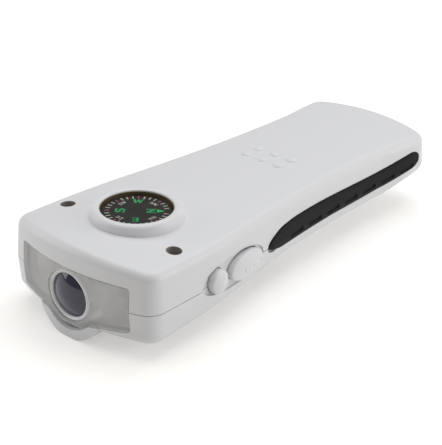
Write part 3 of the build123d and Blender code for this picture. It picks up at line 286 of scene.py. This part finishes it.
BODY = moulded_abs()
RUBBER = soft_rubber()
STEEL = plain("turned_steel", "#A8AAAD", 0.3, 1.0)
BRASS = plain("turned_brass", "#B89A55", 0.3, 1.0)
BLACK = plain("black_moulding", "#151516", 0.5)
ACETAL = plain("white_acetal", "#EDEBE0", 0.4)
BOARD = plain("green_board", "#1B5A33", 0.45)
LENS = dark_lens()
PLATING = plated_reflector()
CARD = plain("card_print", "#14140F", 0.6)

looks = {
    "upper_shell": BODY,
    "lower_shell": BODY,
    "front_button": BODY,
    "rear_button": BODY,
    "crank_arm": BODY,
    "crank_knob": BODY,
    "grip_right": RUBBER,
    "grip_left": RUBBER,
    "front_cover": clear_styrene(),
    "compass_cover": compass_bubble(),
    "centre_lens": LENS,
    "lens_ring": plain("white_ring", "#EDEDEE", 0.25),
    "reflector": PLATING,
    "compass_card": CARD,
    "compass_case": plain("golden_case", "#6B5A3A", 0.35),
    "stator_coil": plain("enamelled_copper", "#B4632F", 0.35, 1.0),
    "smoothing_capacitor": plain("capacitor_sleeve", "#1B2250", 0.4),
    "gearbox_plate": BLACK,
    "rotor_pinion": BRASS,
    "compass_pivot": BRASS,
}
groups = [
    (STEEL, "knob_post knob_hinge_pin crank_shaft shaft_clip first_axle second_axle rotor_shaft"),
    (STEEL, "stator_cup stator_plate battery_tabs battery_cell_1 battery_cell_2 battery_cell_3"),
    (STEEL, "gearbox_screws rotor_magnet compass_magnet"),
    # The housing screws get a dark colour as painted shade at the bottom of the screw wells
    (plain("screw_in_painted_shade", "#4A4744", 0.5, 1.0), "housing_screws"),
    (ACETAL, "drive_gear first_gear second_gear crank_bush"),
    (BLACK, "front_switch rear_switch front_switch_plunger rear_switch_plunger"),
    (BLACK, "rectifier_diodes control_chip"),
    (BOARD, "main_board led_board"),
    (led_epoxy(), "led_left led_centre led_right"),
]
looks.update({name: material for material, names in groups for name in names.split()})

for name, material in looks.items():
    mesh = nodes[name].data
    mesh.materials.clear()
    mesh.materials.append(material)


# ---------------------------------------------------------------- making pieces


def piece(name, points, faces, material, body):
    """A new mesh from points in millimetres, riding on a CAD body."""
    mesh = bpy.data.meshes.new(name)
    mesh.from_pydata((np.asarray(points, float) * MM).tolist(), [], faces)
    mesh.materials.append(material)
    mesh.update()
    thing = bpy.data.objects.new(name, mesh)
    bpy.context.collection.objects.link(thing)
    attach(thing, body)
    return thing


def closed_skin(name, grid, material, body, ring_rows=False, smooth=True):
    """A closed piece over a grid of points whose columns go round.

    Row i, column j joins row i + 1, column j + 1 by one quad. With ring_rows the last row joins the
    first; without it a row drawn together to one point is added at each end.
    """
    if not ring_rows:
        ends = [np.broadcast_to(row.mean(axis=0), row.shape)[None] for row in (grid[0], grid[-1])]
        grid = np.concatenate([ends[0], grid, ends[1]])
    rows, columns = grid.shape[:2]
    row = np.arange(rows if ring_rows else rows - 1)[:, None]
    column = np.arange(columns)[None, :]
    below, beside = (row + 1) % rows, (column + 1) % columns
    here, there = row * columns, below * columns
    corners = np.broadcast_arrays(here + column, here + beside, there + beside, there + column)
    quads = np.stack(corners, axis=-1).reshape(-1, 4)
    thing = piece(name, grid.reshape(-1, 3), quads.tolist(), material, body)
    work = bmesh.new()
    work.from_mesh(thing.data)
    bmesh.ops.remove_doubles(work, verts=work.verts, dist=0.0005 * MM)
    bmesh.ops.recalc_face_normals(work, faces=work.faces)
    work.to_mesh(thing.data)
    work.free()
    if smooth:
        thing.data.shade_smooth()
    return thing


# ---------------------------------------------------------------- tail of the housing

TAIL_TOP_REACH, TAIL_BOTTOM_REACH = 7.0, 6.6
TAIL_FLAT_INSET, TAIL_CLOSING_DEPTH = EDGE_ROUND + 1.2, 0.6
GROOVE_DEPTH, SEAM_NEAR, SEAM_FAR = 0.18, 0.25, 0.6
BLEND_DROP, BLEND_RUN, BLEND_INSET = 0.12, 5.0, 2.6


def tail_section():
    """The band's section, as rows of inset from the outline, kind of surface and fall or rise.

    From the top skin it goes over the upper edge, down the drafted wall with the seam's groove,
    round the lower edge and along the underside; the last two points close it inside the housing.
    """
    quarter = np.linspace(0, np.pi / 2, TAIL_EDGE_STEPS)
    insets, falls = EDGE_ROUND * (1 - np.sin(quarter)), EDGE_ROUND * (1 - np.cos(quarter))
    top = [(inset, "top", 0.0) for inset in np.linspace(TAIL_TOP_REACH, TAIL_FLAT_INSET, 5)]
    upper = [(inset, "top edge", fall) for inset, fall in zip(insets, falls)]
    lip = PARTING_GAP / 2
    above = [(0, SEAM_FAR), (0, SEAM_NEAR), (0, lip), (GROOVE_DEPTH, lip)]
    below = [(inset, -rise) for inset, rise in above[::-1]]
    wall = [(inset, "seam", rise) for inset, rise in above + below]
    lower = [(inset, "low edge", fall) for inset, fall in zip(insets[::-1], falls[::-1])]
    bottom = [(inset, "bottom", 0.0) for inset in np.linspace(TAIL_FLAT_INSET, TAIL_BOTTOM_REACH, 4)]
    closing = [
        (TAIL_BOTTOM_REACH, "bottom", TAIL_CLOSING_DEPTH),
        (TAIL_TOP_REACH, "top", TAIL_CLOSING_DEPTH),
    ]
    return top + upper + wall + lower + bottom + closing


def tail_band():
    """The fuller tail: one section carried round the tail's outline.

    Each point = outline - inset * normal; the wall and edges move in further by the draft, and the
    fall is taken from the skin. At its two ends and its inner edge the band dips under the skin.
    """
    half = tail_curve(TAIL_START_Y)
    other = half[-2::-1] * np.array([[-1.0, 1.0]])
    curve = np.concatenate([half, other])
    normal = outward(curve)
    columns = []
    for inset, kind, fall in tail_section():
        middle = curve - normal * inset
        lift = SKIN_LIFT - BLEND_DROP * (1 - smooth_step((curve[:, 1] - TAIL_START_Y) / BLEND_RUN))
        if kind == "top":
            lift = lift - BLEND_DROP * (1 - smooth_step((TAIL_TOP_REACH - inset) / BLEND_INSET))
        upper = top_z(middle[:, 0], middle[:, 1]) + lift
        lower = underside_z(middle[:, 1]) - lift
        if kind in ("top", "top edge"):
            z, draft_z = upper - fall, upper - EDGE_ROUND
        elif kind == "seam":
            z = np.full(len(curve), PARTING_Z + fall)
            draft_z = z
        else:
            z, draft_z = lower + fall, lower + EDGE_ROUND
        if kind not in ("top", "bottom"):
            middle = middle + normal * (lift - np.abs(draft_z - PARTING_Z) * DRAFT)[:, None]
        columns.append(np.column_stack([middle, z]))
    closed_skin("tail_band", np.stack(columns, axis=1), BODY, "housing")


tail_band()


# ---------------------------------------------------------------- grips

GRIP_START_Y, GRIP_TIP_Z = -21.4, 13.5
GRIP_NOSE_UPPER, GRIP_NOSE_LOWER, GRIP_HEEL = 14.0, 8.0, 4.2
GRIP_HIGH_Z, GRIP_WAVE, GRIP_WAVE_LENGTH, GRIP_CREST_Y = 17.6, 0.5, 75.0, -5.0
GRIP_LOW_Z, GRIP_RISE, GRIP_RISE_Y, GRIP_RISE_RUN = 11.4, 1.2, 36.0, 14.0
GRIP_TAIL_LIFT = 0.8
GRIP_PROUD, GRIP_SEAT = 0.6, 0.9
SLOT_FIRST_Y, SLOT_PITCH, SLOT_COUNT = -7.8, 9.2, 7
SLOT_LENGTH, SLOT_HEIGHT, SLOT_DEPTH, SLOT_Z = 6.4, 1.25, 0.5, 13.4
SLOT_SOFTNESS, SLOT_FLOOR = 0.14, 0.1
GRIP_END_PAST_FULL = -0.2
GRIP_FULL_PROUD_HEIGHT = 3.0
GRIP_END_RUN, GRIP_END_GAP = 2.0, 0.02
GRIP_STATIONS, GRIP_END_STATIONS, GRIP_ROWS = 520, 18, 60


def grip_edges(y, end_y):
    """Lower and upper edge of the teardrop grip at each y.

    The upper edge is a gentle wave joined to the tip by a quarter ellipse, the lower edge a level
    line joined to it by a parabola; both rise towards the tail and close there in a half-round heel.
    """
    lift = GRIP_TAIL_LIFT * tail_growth(y)
    high = GRIP_HIGH_Z + GRIP_WAVE * np.cos(2 * np.pi * (y - GRIP_CREST_Y) / GRIP_WAVE_LENGTH) + lift
    low = GRIP_LOW_Z + GRIP_RISE * (np.clip(y - GRIP_RISE_Y, 0, None) / GRIP_RISE_RUN) ** 1.5 + lift / 2
    upper_share = np.clip((y - GRIP_START_Y) / GRIP_NOSE_UPPER, 0, 1)
    lower_share = np.clip((y - GRIP_START_Y) / GRIP_NOSE_LOWER, 0, 1)
    high = GRIP_TIP_Z + (high - GRIP_TIP_Z) * np.sqrt(1 - (1 - upper_share) ** 2)
    low = GRIP_TIP_Z + (low - GRIP_TIP_Z) * (1 - (1 - lower_share) ** 2)
    heel = np.sqrt(1 - (1 - np.clip((end_y - y) / GRIP_HEEL, 0, 1)) ** 2)
    middle = (low + high) / 2
    return middle + (low - middle) * heel, middle + (high - middle) * heel


def moulded_grip(name, side):
    """A rubber grip lying on the side wall.

    Stations follow the housing's outline. Over the height, the face stands out by
    proud * sqrt(1 - |2 * share - 1|^4), less where the grip is low; each slot lowers it inside a
    capsule, and the back closes inside the wall.
    """
    curve = tail_curve(GRIP_START_Y)
    run = np.concatenate([[0], np.cumsum(np.linalg.norm(np.diff(curve, axis=0), axis=1))])
    end_run = run[np.searchsorted(curve[:, 1], TAIL_FULL_Y)] + GRIP_END_PAST_FULL
    even = np.linspace(GRIP_END_GAP, end_run - GRIP_END_GAP, GRIP_STATIONS)
    between = even[(even > GRIP_END_RUN) & (even < end_run - GRIP_END_RUN)]
    ends = GRIP_END_RUN * np.linspace(POLE_SHARE, 1, GRIP_END_STATIONS) ** 2
    stations = np.unique(np.concatenate([ends, between, end_run - ends]))
    x, y = (np.interp(stations, run, curve[:, axis]) for axis in (0, 1))
    normal = outward(np.stack([x, y], axis=-1))
    low, high = grip_edges(GRIP_START_Y + stations * (y[-1] - GRIP_START_Y) / stations[-1], y[-1])
    share = (1 - np.cos(np.linspace(0, np.pi, GRIP_ROWS)))[None, :] / 2
    z = low[:, None] + (high - low)[:, None] * share
    fullness = np.minimum((high - low)[:, None] / GRIP_FULL_PROUD_HEIGHT, 1)
    out = GRIP_PROUD * np.sqrt(1 - np.abs(2 * share - 1) ** 4) * fullness
    slot_z = SLOT_Z + GRIP_TAIL_LIFT * tail_growth(y)[:, None]
    straight = SLOT_LENGTH - SLOT_HEIGHT
    for number in range(SLOT_COUNT):
        past = np.abs(y[:, None] - SLOT_FIRST_Y - number * SLOT_PITCH) - straight / 2
        away = np.hypot(np.clip(past, 0, None), z - slot_z)
        cut = SLOT_DEPTH * smooth_step((SLOT_HEIGHT / 2 - away) / SLOT_SOFTNESS + 0.5)
        out = np.maximum(out - cut, np.minimum(out, SLOT_FLOOR))
    back = np.full((len(x), 1), -GRIP_SEAT)
    out = np.concatenate([out, back, back], axis=1)
    z = np.concatenate([z, high[:, None], low[:, None]], axis=1)
    out = out - np.abs(z - PARTING_Z) * DRAFT
    grid = np.stack(
        [side * (x[:, None] + normal[:, :1] * out), y[:, None] + normal[:, 1:] * out, z], axis=-1
    )
    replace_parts(closed_skin(f"moulded_{name}", grid, RUBBER, "housing"), name)


moulded_grip("grip_right", 1)
moulded_grip("grip_left", -1)


# ---------------------------------------------------------------- side buttons

BUTTON_Z = 14.2
BUTTON_STAND_OUT = 1.1
BUTTON_CROWN = 0.75
BUTTON_EDGE = 0.35
BUTTON_ROOT = 2.2
DIMPLE_RADIUS, DIMPLE_DEPTH, DIMPLE_Z = 0.85, 0.28, 13.4
DIMPLES_Y = (-34.9, -30.9, -26.9)


def crowned_button(name, y, length, height, dimples_y):
    """An oval button whose face is crowned both ways.

    Over the face, height above the wall = stand-out + crown * (1 - share^2), where share runs from
    the middle to the rim, less a quarter-round at the rim; each dimple takes away a soft bowl.
    Behind the rim the wall goes straight in and closes at its middle.
    """
    angle = np.linspace(0, 2 * np.pi, 128, endpoint=False)[None, :]
    share = np.sin(np.linspace(0.01, np.pi / 2, 48))[:, None]
    along = share * length / 2 * np.cos(angle)
    upward = share * height / 2 * np.sin(angle)
    rim_gap = np.clip((1 - share) * height / 2, 0, BUTTON_EDGE)
    out = BUTTON_STAND_OUT + BUTTON_CROWN * (1 - share**2) - bow(BUTTON_EDGE, BUTTON_EDGE - rim_gap)
    out = out + 0 * angle
    for dimple_y in dimples_y:
        away = np.hypot(y + along - dimple_y, BUTTON_Z + upward - DIMPLE_Z) / DIMPLE_RADIUS
        out = out - DIMPLE_DEPTH * np.clip(1 - away**2, 0, 1) ** 1.5
    root = np.full_like(along[-1:], -BUTTON_ROOT)
    along, upward = np.concatenate([along, along[-1:]]), np.concatenate([upward, upward[-1:]])
    out = np.concatenate([out, root])
    grid = np.stack([side_x(y + along) + out, y + along, BUTTON_Z + upward], axis=-1)
    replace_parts(closed_skin(f"crowned_{name}", grid, BODY, name), name)


crowned_button("front_button", -44.7, 6.4, 6.8, ())
crowned_button("rear_button", -32.6, 14.6, 7.4, DIMPLES_Y)


# ---------------------------------------------------------------- bumps on top

BUMP_RADIUS, BUMP_HEIGHT, BUMP_SINK = 1.55, 0.62, 0.3
BUMP_PITCH_X, BUMP_PITCH_Y, BUMPS_Y = 6.0, 5.6, 7.0


def bump(name, x, y):
    """A low lens-shaped bump: height = crest * (1 - share^2.6), with a foot inside the skin."""
    angle = np.linspace(0, 2 * np.pi, 48, endpoint=False)[None, :]
    share = np.linspace(POLE_SHARE, 1, 14)[:, None]
    across = x + BUMP_RADIUS * share * np.cos(angle)
    along = y + BUMP_RADIUS * share * np.sin(angle)
    z = top_z(across, along) + BUMP_HEIGHT * (1 - share**2.6)
    grid = np.stack([across, along, z], axis=-1)
    foot = grid[-1:] - np.array([0, 0, BUMP_SINK])
    closed_skin(name, np.concatenate([grid, foot]), BODY, "housing")


for column in (-1, 0, 1):
    for row in (-1, 1):
        number = 2 * (column + 1) + (row + 1) // 2 + 1
        bump(f"bump_{number}", column * BUMP_PITCH_X, BUMPS_Y + row * BUMP_PITCH_Y / 2)


# ---------------------------------------------------------------- lamp

LENS_Z = 12.0
LENS_RADIUS, LENS_EDGE_Y, LENS_BACK_Y, LENS_DOME = 6.1, -72.7, -70.6, 1.7


def domed_lens():
    """The lens turned about its axis: a spherical dome to the front and a flat back."""
    radius = LENS_RADIUS * np.sin(np.linspace(0.01, np.pi / 2, 40))
    sphere = (LENS_RADIUS**2 + LENS_DOME**2) / (2 * LENS_DOME)
    depth = LENS_EDGE_Y - LENS_DOME + bow(sphere, radius)
    radius, depth = np.append(radius, LENS_RADIUS)[:, None], np.append(depth, LENS_BACK_Y)[:, None]
    turn = np.linspace(0, 2 * np.pi, 96, endpoint=False)[None, :]
    grid = np.stack([radius * np.cos(turn), depth + 0 * turn, LENS_Z + radius * np.sin(turn)], axis=-1)
    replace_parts(closed_skin("domed_lens", grid, LENS, "housing"), "centre_lens")


WINDOW_X, WINDOW_TOP_Z, WINDOW_CORNER_Z, WINDOW_LOW_Z, LOBE_RADIUS = 19.0, 19.6, 8.1, 6.3, 8.8
REFLECTOR_FRONT_Y, REFLECTOR_BOW, REFLECTOR_BACK_Y = -70.0, 60.0, -61.6
BOWL_X, BOWL_Z, BOWL_SIDES = 13.2, 13.9, 18
BOWL_RINGS = np.array([0.0, 2.7, 3.9, 5.1, 6.4, 7.8])
BOWL_FLOOR_Y, BOWL_MOUTH_Y, BOWL_SECTOR_STEP = -62.3, -70.2, 0.35
TUBE_RADIUS, TUBE_MOUTH_RADIUS = 5.6, 6.2
REFLECTOR_SLICES, REFLECTOR_ROWS = 230, 90


def reflector_face(x, z):
    """Depth of the plated face: the bowed front, two facetted bowls and the lens's flared tube.

    A bowl's facets are flat because its distance is measured to a polygon and its parabola is drawn
    by straight lines between rings; beyond the first ring every other sector lies a little deeper.
    """
    front = REFLECTOR_FRONT_Y + bow(REFLECTOR_BOW, x)
    across, above = np.abs(x) - BOWL_X, z - BOWL_Z
    sector = 2 * np.pi / BOWL_SIDES
    turn = np.arctan2(above, across)
    number = np.round(turn / sector)
    distance = np.hypot(across, above) * np.cos(turn - number * sector) / np.cos(sector / 2)
    parabola = BOWL_FLOOR_Y + (BOWL_MOUTH_Y - BOWL_FLOOR_Y) * (BOWL_RINGS / BOWL_RINGS[-1]) ** 2
    deeper = BOWL_SECTOR_STEP * (number % 2) * (distance > BOWL_RINGS[1])
    bowl = np.interp(distance, BOWL_RINGS, parabola) + deeper
    flare = [TUBE_RADIUS, TUBE_MOUTH_RADIUS]
    tube = np.interp(np.hypot(x, z - LENS_Z), flare, [BOWL_FLOOR_Y, BOWL_MOUTH_Y])
    return np.maximum(front, np.maximum(bowl, tube))


def facetted_reflector():
    """The plated moulding behind the window, as upright slices from one side to the other.

    Each slice runs from the window's lower edge, a line that dips round the lens, to its straight
    upper edge, and returns along a flat back.
    """
    x = np.linspace(-WINDOW_X, WINDOW_X, REFLECTOR_SLICES)
    lobe_x = np.sqrt(LOBE_RADIUS**2 - (LENS_Z - WINDOW_LOW_Z) ** 2)
    ramp = (np.abs(x) - lobe_x) / (WINDOW_X - lobe_x)
    line = WINDOW_LOW_Z + (WINDOW_CORNER_Z - WINDOW_LOW_Z) * ramp
    lobe = LENS_Z - np.sqrt(np.clip(LOBE_RADIUS**2 - x**2, 0, None))
    low = np.where(np.abs(x) < lobe_x, lobe, line)[:, None]
    share = np.linspace(0, 1, REFLECTOR_ROWS)[None, :]
    z = low + (WINDOW_TOP_Z - low) * share
    face = np.stack([x[:, None] + 0 * z, reflector_face(x[:, None], z), z], axis=-1)
    back = face[:, [-1, 0]].copy()
    back[:, :, 1] = REFLECTOR_BACK_Y
    grid = np.concatenate([face, back], axis=1)
    made = closed_skin("facetted_reflector", grid, PLATING, "housing", smooth=False)
    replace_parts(made, "reflector")


domed_lens()
facetted_reflector()


# ---------------------------------------------------------------- compass

COMPASS_Y = -48.0
NORTH = np.radians(40.8)
RING_BORE, RING_CREST_R, RING_FOOT, RING_CREST_Z, RING_BORE_Z = 9.95, 10.95, 12.65, 28.45, 28.05
RING_SHOULDER = 2.5
RING_FOOT_SINK, RING_UNDER_SINK = 0.05, 0.5


def compass_ring():
    """The white ring's rounded skin, turned about the compass.

    Outside the crest, height = skin + (crest - skin) * (1 - share^2.5)^(1 / 2.5), a squared round
    that stands on the top skin; inside it a quarter ellipse falls to the bore.
    """
    turn = np.linspace(0, 2 * np.pi, 160, endpoint=False)[None, :]
    inner = RING_BORE + (RING_CREST_R - RING_BORE) * (1 - np.cos(np.linspace(0, np.pi / 2, 10)))
    outer = RING_CREST_R + (RING_FOOT - RING_CREST_R) * np.sin(np.linspace(0, np.pi / 2, 30))[1:]
    radius = np.concatenate([inner, outer])[:, None]
    x, y = radius * np.cos(turn), COMPASS_Y + radius * np.sin(turn)
    skin = top_z(x, y) - RING_FOOT_SINK
    share = np.clip((radius - RING_CREST_R) / (RING_FOOT - RING_CREST_R), 0, 1)
    outside = skin + (RING_CREST_Z - skin) * (1 - share**RING_SHOULDER) ** (1 / RING_SHOULDER)
    inward = np.clip((RING_CREST_R - radius) / (RING_CREST_R - RING_BORE), 0, 1)
    inside = RING_BORE_Z + (RING_CREST_Z - RING_BORE_Z) * np.sqrt(1 - inward**2)
    grid = np.stack([x, y, np.where(radius < RING_CREST_R, inside + 0 * turn, outside)], axis=-1)
    under = grid[[-1, 0]].copy()
    under[:, :, 2] = top_z(under[:, :, 0], under[:, :, 1]) - RING_UNDER_SINK
    closed_skin("compass_ring", np.concatenate([grid, under]), BODY, "housing", ring_rows=True)


CARD_RADIUS, CARD_TOP_Z, CARD_THICKNESS = 9.45, 27.0, 0.5
HUB_RADIUS, HUB_RISE, HUB_SLOPE, CARD_POLE = 1.3, 0.06, 0.1, 0.02


def printed_card():
    """The compass card: a flat disc with a low raised hub."""
    turn = np.linspace(0, 2 * np.pi, 120, endpoint=False)[None, :]
    hub = [CARD_POLE, HUB_RADIUS - HUB_SLOPE, HUB_RADIUS]
    radius = np.array(hub + [CARD_RADIUS, CARD_RADIUS, CARD_POLE])[:, None]
    rise = np.array([HUB_RISE, HUB_RISE, 0, 0, -CARD_THICKNESS, -CARD_THICKNESS])[:, None]
    x, y = radius * np.cos(turn), COMPASS_Y + radius * np.sin(turn)
    grid = np.stack([x, y, CARD_TOP_Z + rise + 0 * turn], axis=-1)
    made = closed_skin("printed_card", grid, CARD, "compass_card", smooth=False)
    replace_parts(made, "compass_card")


compass_ring()
printed_card()


def stroke(start, end, width):
    """The four corners of a straight stroke, anticlockwise."""
    start, end = np.array(start, float), np.array(end, float)
    along = (end - start) / np.linalg.norm(end - start)
    side = np.array([-along[1], along[0]]) * width / 2
    return [start - side, end - side, end + side, start + side]


def chain(points, width):
    """Strokes joined end to end."""
    return [stroke(a, b, width) for a, b in zip(points, points[1:])]


def arc(centre, radius, start, end, steps):
    """Points along part of a circle, angles in degrees."""
    turns = np.radians(np.linspace(start, end, steps))
    return [(centre[0] + radius * np.cos(t), centre[1] + radius * np.sin(t)) for t in turns]


def letter_strokes(letter):
    """Serifed capitals drawn in a box one unit high about its middle."""
    thick, thin, serif = 0.26, 0.13, 0.1
    if letter == "N":
        return [
            stroke((-0.38, -0.5), (-0.38, 0.5), thin),
            stroke((-0.42, 0.48), (0.4, -0.48), thick),
            stroke((0.38, -0.5), (0.38, 0.5), thin),
            stroke((-0.56, 0.46), (-0.3, 0.46), serif),
            stroke((-0.54, -0.46), (-0.22, -0.46), serif),
            stroke((0.22, 0.46), (0.54, 0.46), serif),
        ]
    if letter == "E":
        return [
            stroke((-0.22, -0.5), (-0.22, 0.5), thick),
            stroke((-0.4, 0.45), (0.38, 0.45), serif),
            stroke((-0.4, -0.45), (0.4, -0.45), serif),
            stroke((-0.2, 0.0), (0.22, 0.0), serif),
            stroke((0.35, 0.5), (0.35, 0.22), serif),
            stroke((0.38, -0.5), (0.38, -0.2), serif),
            stroke((0.2, 0.14), (0.2, -0.14), serif),
        ]
    if letter == "S":
        upper = arc((0, 0.24), 0.24, 20, 270, 10)
        lower = arc((0, -0.24), 0.26, 90, -160, 10)
        return chain(upper, 0.2) + chain(lower, 0.2) + [
            stroke((0.27, 0.5), (0.27, 0.24), serif),
            stroke((-0.28, -0.5), (-0.28, -0.24), serif),
        ]
    legs = [(-0.5, 0.48), (-0.24, -0.46), (0.02, 0.42), (0.28, -0.46), (0.54, 0.48)]
    strokes = [stroke(a, b, w) for a, b, w in zip(legs, legs[1:], [thick, thin, thick, thin])]
    serifs = [stroke((-0.66, 0.46), (-0.34, 0.46), serif), stroke((0.4, 0.46), (0.68, 0.46), serif)]
    return strokes + serifs


def on_card(quads, turn, radius, height, spread=1.0):
    """Quads of a letter, sized and stood with its top outwards at a bearing from north."""
    bearing = NORTH + turn
    outward_way = np.array([np.cos(bearing), np.sin(bearing)])
    sideways = np.array([outward_way[1], -outward_way[0]])
    middle = np.array([0.0, COMPASS_Y]) + outward_way * radius
    placed = []
    for quad in quads:
        for x, y in quad:
            flat = middle + sideways * (x * height * spread) + outward_way * (y * height)
            placed.append((flat[0], flat[1], PRINT_Z))
    return placed


def marking(name, quads_by_place, material, sides=4):
    """One flat printed layer from many polygons with the same number of corners."""
    points = [point for placed in quads_by_place for point in placed]
    faces = [list(range(i, i + sides)) for i in range(0, len(points), sides)]
    return piece(name, points, faces, material, "compass_card")


GREEN = plain("green_print", "#2FC873", 0.5)
PINK = plain("pink_print", "#C4587F", 0.5)
PALE = plain("pale_print", "#DEDBCB", 0.5)
PRINT_LIFT = 0.02
PRINT_Z = CARD_TOP_Z + PRINT_LIFT
LETTER_HEIGHT = 2.4
ARROW_RADIUS, ARROW_HEIGHT = 6.3, 2.0
SMALL_RADIUS, SMALL_HEIGHT, SMALL_SPREAD, SMALL_PITCH = 6.0, 1.15, 0.95, 1.2
TICK_COUNT, TICK_RADIUS, TICK_LENGTH, TICK_WIDTH_SHARE = 32, 8.0, 1.3, 0.27

# Letter, degrees from north, distance from the middle, widening
big = [("N", 0, 3.8, 1.0), ("E", -90, 5.2, 0.85), ("S", 180, 4.5, 1.4), ("W", 90, 5.7, 0.95)]
marking(
    "card_letters",
    [
        on_card(letter_strokes(letter), np.radians(turn), radius, LETTER_HEIGHT, spread)
        for letter, turn, radius, spread in big
    ],
    GREEN,
)
north_arrow = [[(-0.5, -0.5), (0.5, -0.5), (0.0, 0.55)]]
marking("card_north_arrow", [on_card(north_arrow, 0.0, ARROW_RADIUS, ARROW_HEIGHT)], GREEN, 3)

small = []
for pair, turn in (("NE", -45), ("SE", -135), ("SW", 135), ("NW", 45)):
    for index, letter in enumerate(pair):
        shift = (index - 0.5) * SMALL_PITCH
        quads = [[(x + shift, y) for x, y in quad] for quad in letter_strokes(letter)]
        small.append(on_card(quads, np.radians(turn), SMALL_RADIUS, SMALL_HEIGHT, SMALL_SPREAD))
marking("card_small_letters", small, PALE)

# Every fourth tick stands at one of the eight points; north has its arrow instead
tick_stroke = [stroke((0, -0.5), (0, 0.5), TICK_WIDTH_SHARE)]
ticks, points_of_eight = [], []
for step in range(TICK_COUNT):
    tick = on_card(tick_stroke, 2 * np.pi * step / TICK_COUNT, TICK_RADIUS, TICK_LENGTH)
    if step % 4:
        ticks.append(tick)
    elif step:
        points_of_eight.append(tick)
marking("card_ticks", ticks, PALE)
marking("card_point_ticks", points_of_eight, PINK)


# ---------------------------------------------------------------- floor, light, camera

FLOOR_GLOW, FLOOR_REACH = 0.36, 3000.0
AIM = np.array([0.0, -10.0, 15.0])


def floor():
    """A plain pale floor that keeps the light's shadow and reads white in the picture."""
    corners = FLOOR_REACH * np.array([(-1, -1, 0), (1, -1, 0), (1, 1, 0), (-1, 1, 0)])
    mesh = bpy.data.meshes.new("floor")
    mesh.from_pydata((corners * MM).tolist(), [], [[0, 1, 2, 3]])
    material, shader = principled("floor_paper", "#F2F0EC", Roughness=0.9, Specular_IOR_Level=0.0)
    tree = material.node_tree
    rays = node(tree, "ShaderNodeLightPath").outputs
    seen = node(
        tree,
        "ShaderNodeMath",
        links=[(0, rays["Is Camera Ray"]), (1, rays["Is Transmission Ray"])],
        operation="MAXIMUM",
    )
    mirrored = node(
        tree,
        "ShaderNodeMath",
        links=[(0, seen.outputs[0]), (1, rays["Is Glossy Ray"])],
        operation="MAXIMUM",
    )
    glow = node(
        tree, "ShaderNodeMath", [(1, FLOOR_GLOW)], [(0, mirrored.outputs[0])], operation="MULTIPLY"
    )
    shader.inputs["Emission Color"].default_value = (1, 1, 1, 1)
    tree.links.new(glow.outputs[0], shader.inputs["Emission Strength"])
    mesh.materials.append(material)
    ground = bpy.data.objects.new("floor", mesh)
    bpy.context.collection.objects.link(ground)


def area_light(name, place, size, power, tint="#FFFFFF"):
    """A square soft box aimed at the middle of the flashlight."""
    data = bpy.data.lights.new(name, "AREA")
    data.size = size * MM
    data.energy = power
    data.color = linear(tint)[:3]
    lamp = bpy.data.objects.new(name, data)
    bpy.context.collection.objects.link(lamp)
    lamp.location = [c * MM for c in place]
    lamp.rotation_mode = "QUATERNION"
    lamp.rotation_quaternion = Vector(AIM - np.array(place, float)).to_track_quat("-Z", "Y")


floor()
area_light("top_box", (-80, 160, 600), 700, 2.6, "#FAFCFF")
area_light("right_box", (580, 380, 230), 450, 1.75)
area_light("left_box", (-600, -380, 260), 450, 1.3)

world = bpy.data.worlds.new("studio")
world.use_nodes = True
world.node_tree.nodes["Background"].inputs["Color"].default_value = linear("#FFFBF6")
world.node_tree.nodes["Background"].inputs["Strength"].default_value = 0.3
bpy.context.scene.world = world

AZIMUTH, ELEVATION, ROLL = np.radians([40.8, 27.0, 1.0])
DISTANCE, SHIFT_X, SHIFT_Y, DIAL_Z = 350.0, -22.2, 4.0, 28.0
back = np.array(
    [np.sin(AZIMUTH) * np.cos(ELEVATION), -np.cos(AZIMUTH) * np.cos(ELEVATION), np.sin(ELEVATION)]
)
level = np.array([np.cos(AZIMUTH), np.sin(AZIMUTH), 0.0])
upright = np.cross(back, level)
right = level * np.cos(ROLL) + upright * np.sin(ROLL)
up = -level * np.sin(ROLL) + upright * np.cos(ROLL)
dial_centre = np.array([0.0, COMPASS_Y, DIAL_Z])
eye = dial_centre + DISTANCE * back - SHIFT_X * right - SHIFT_Y * up

camera_data = bpy.data.cameras.new("camera")
camera_data.sensor_width = 36.0
camera_data.lens = 107.35
camera_data.clip_start = 0.01
camera = bpy.data.objects.new("camera", camera_data)
bpy.context.collection.objects.link(camera)
placing = np.eye(4)
placing[:3] = np.column_stack([right, up, back, eye * MM])
camera.matrix_world = Matrix(placing.tolist())
bpy.context.scene.camera = camera
bpy.context.scene.view_settings.view_transform = "Standard"
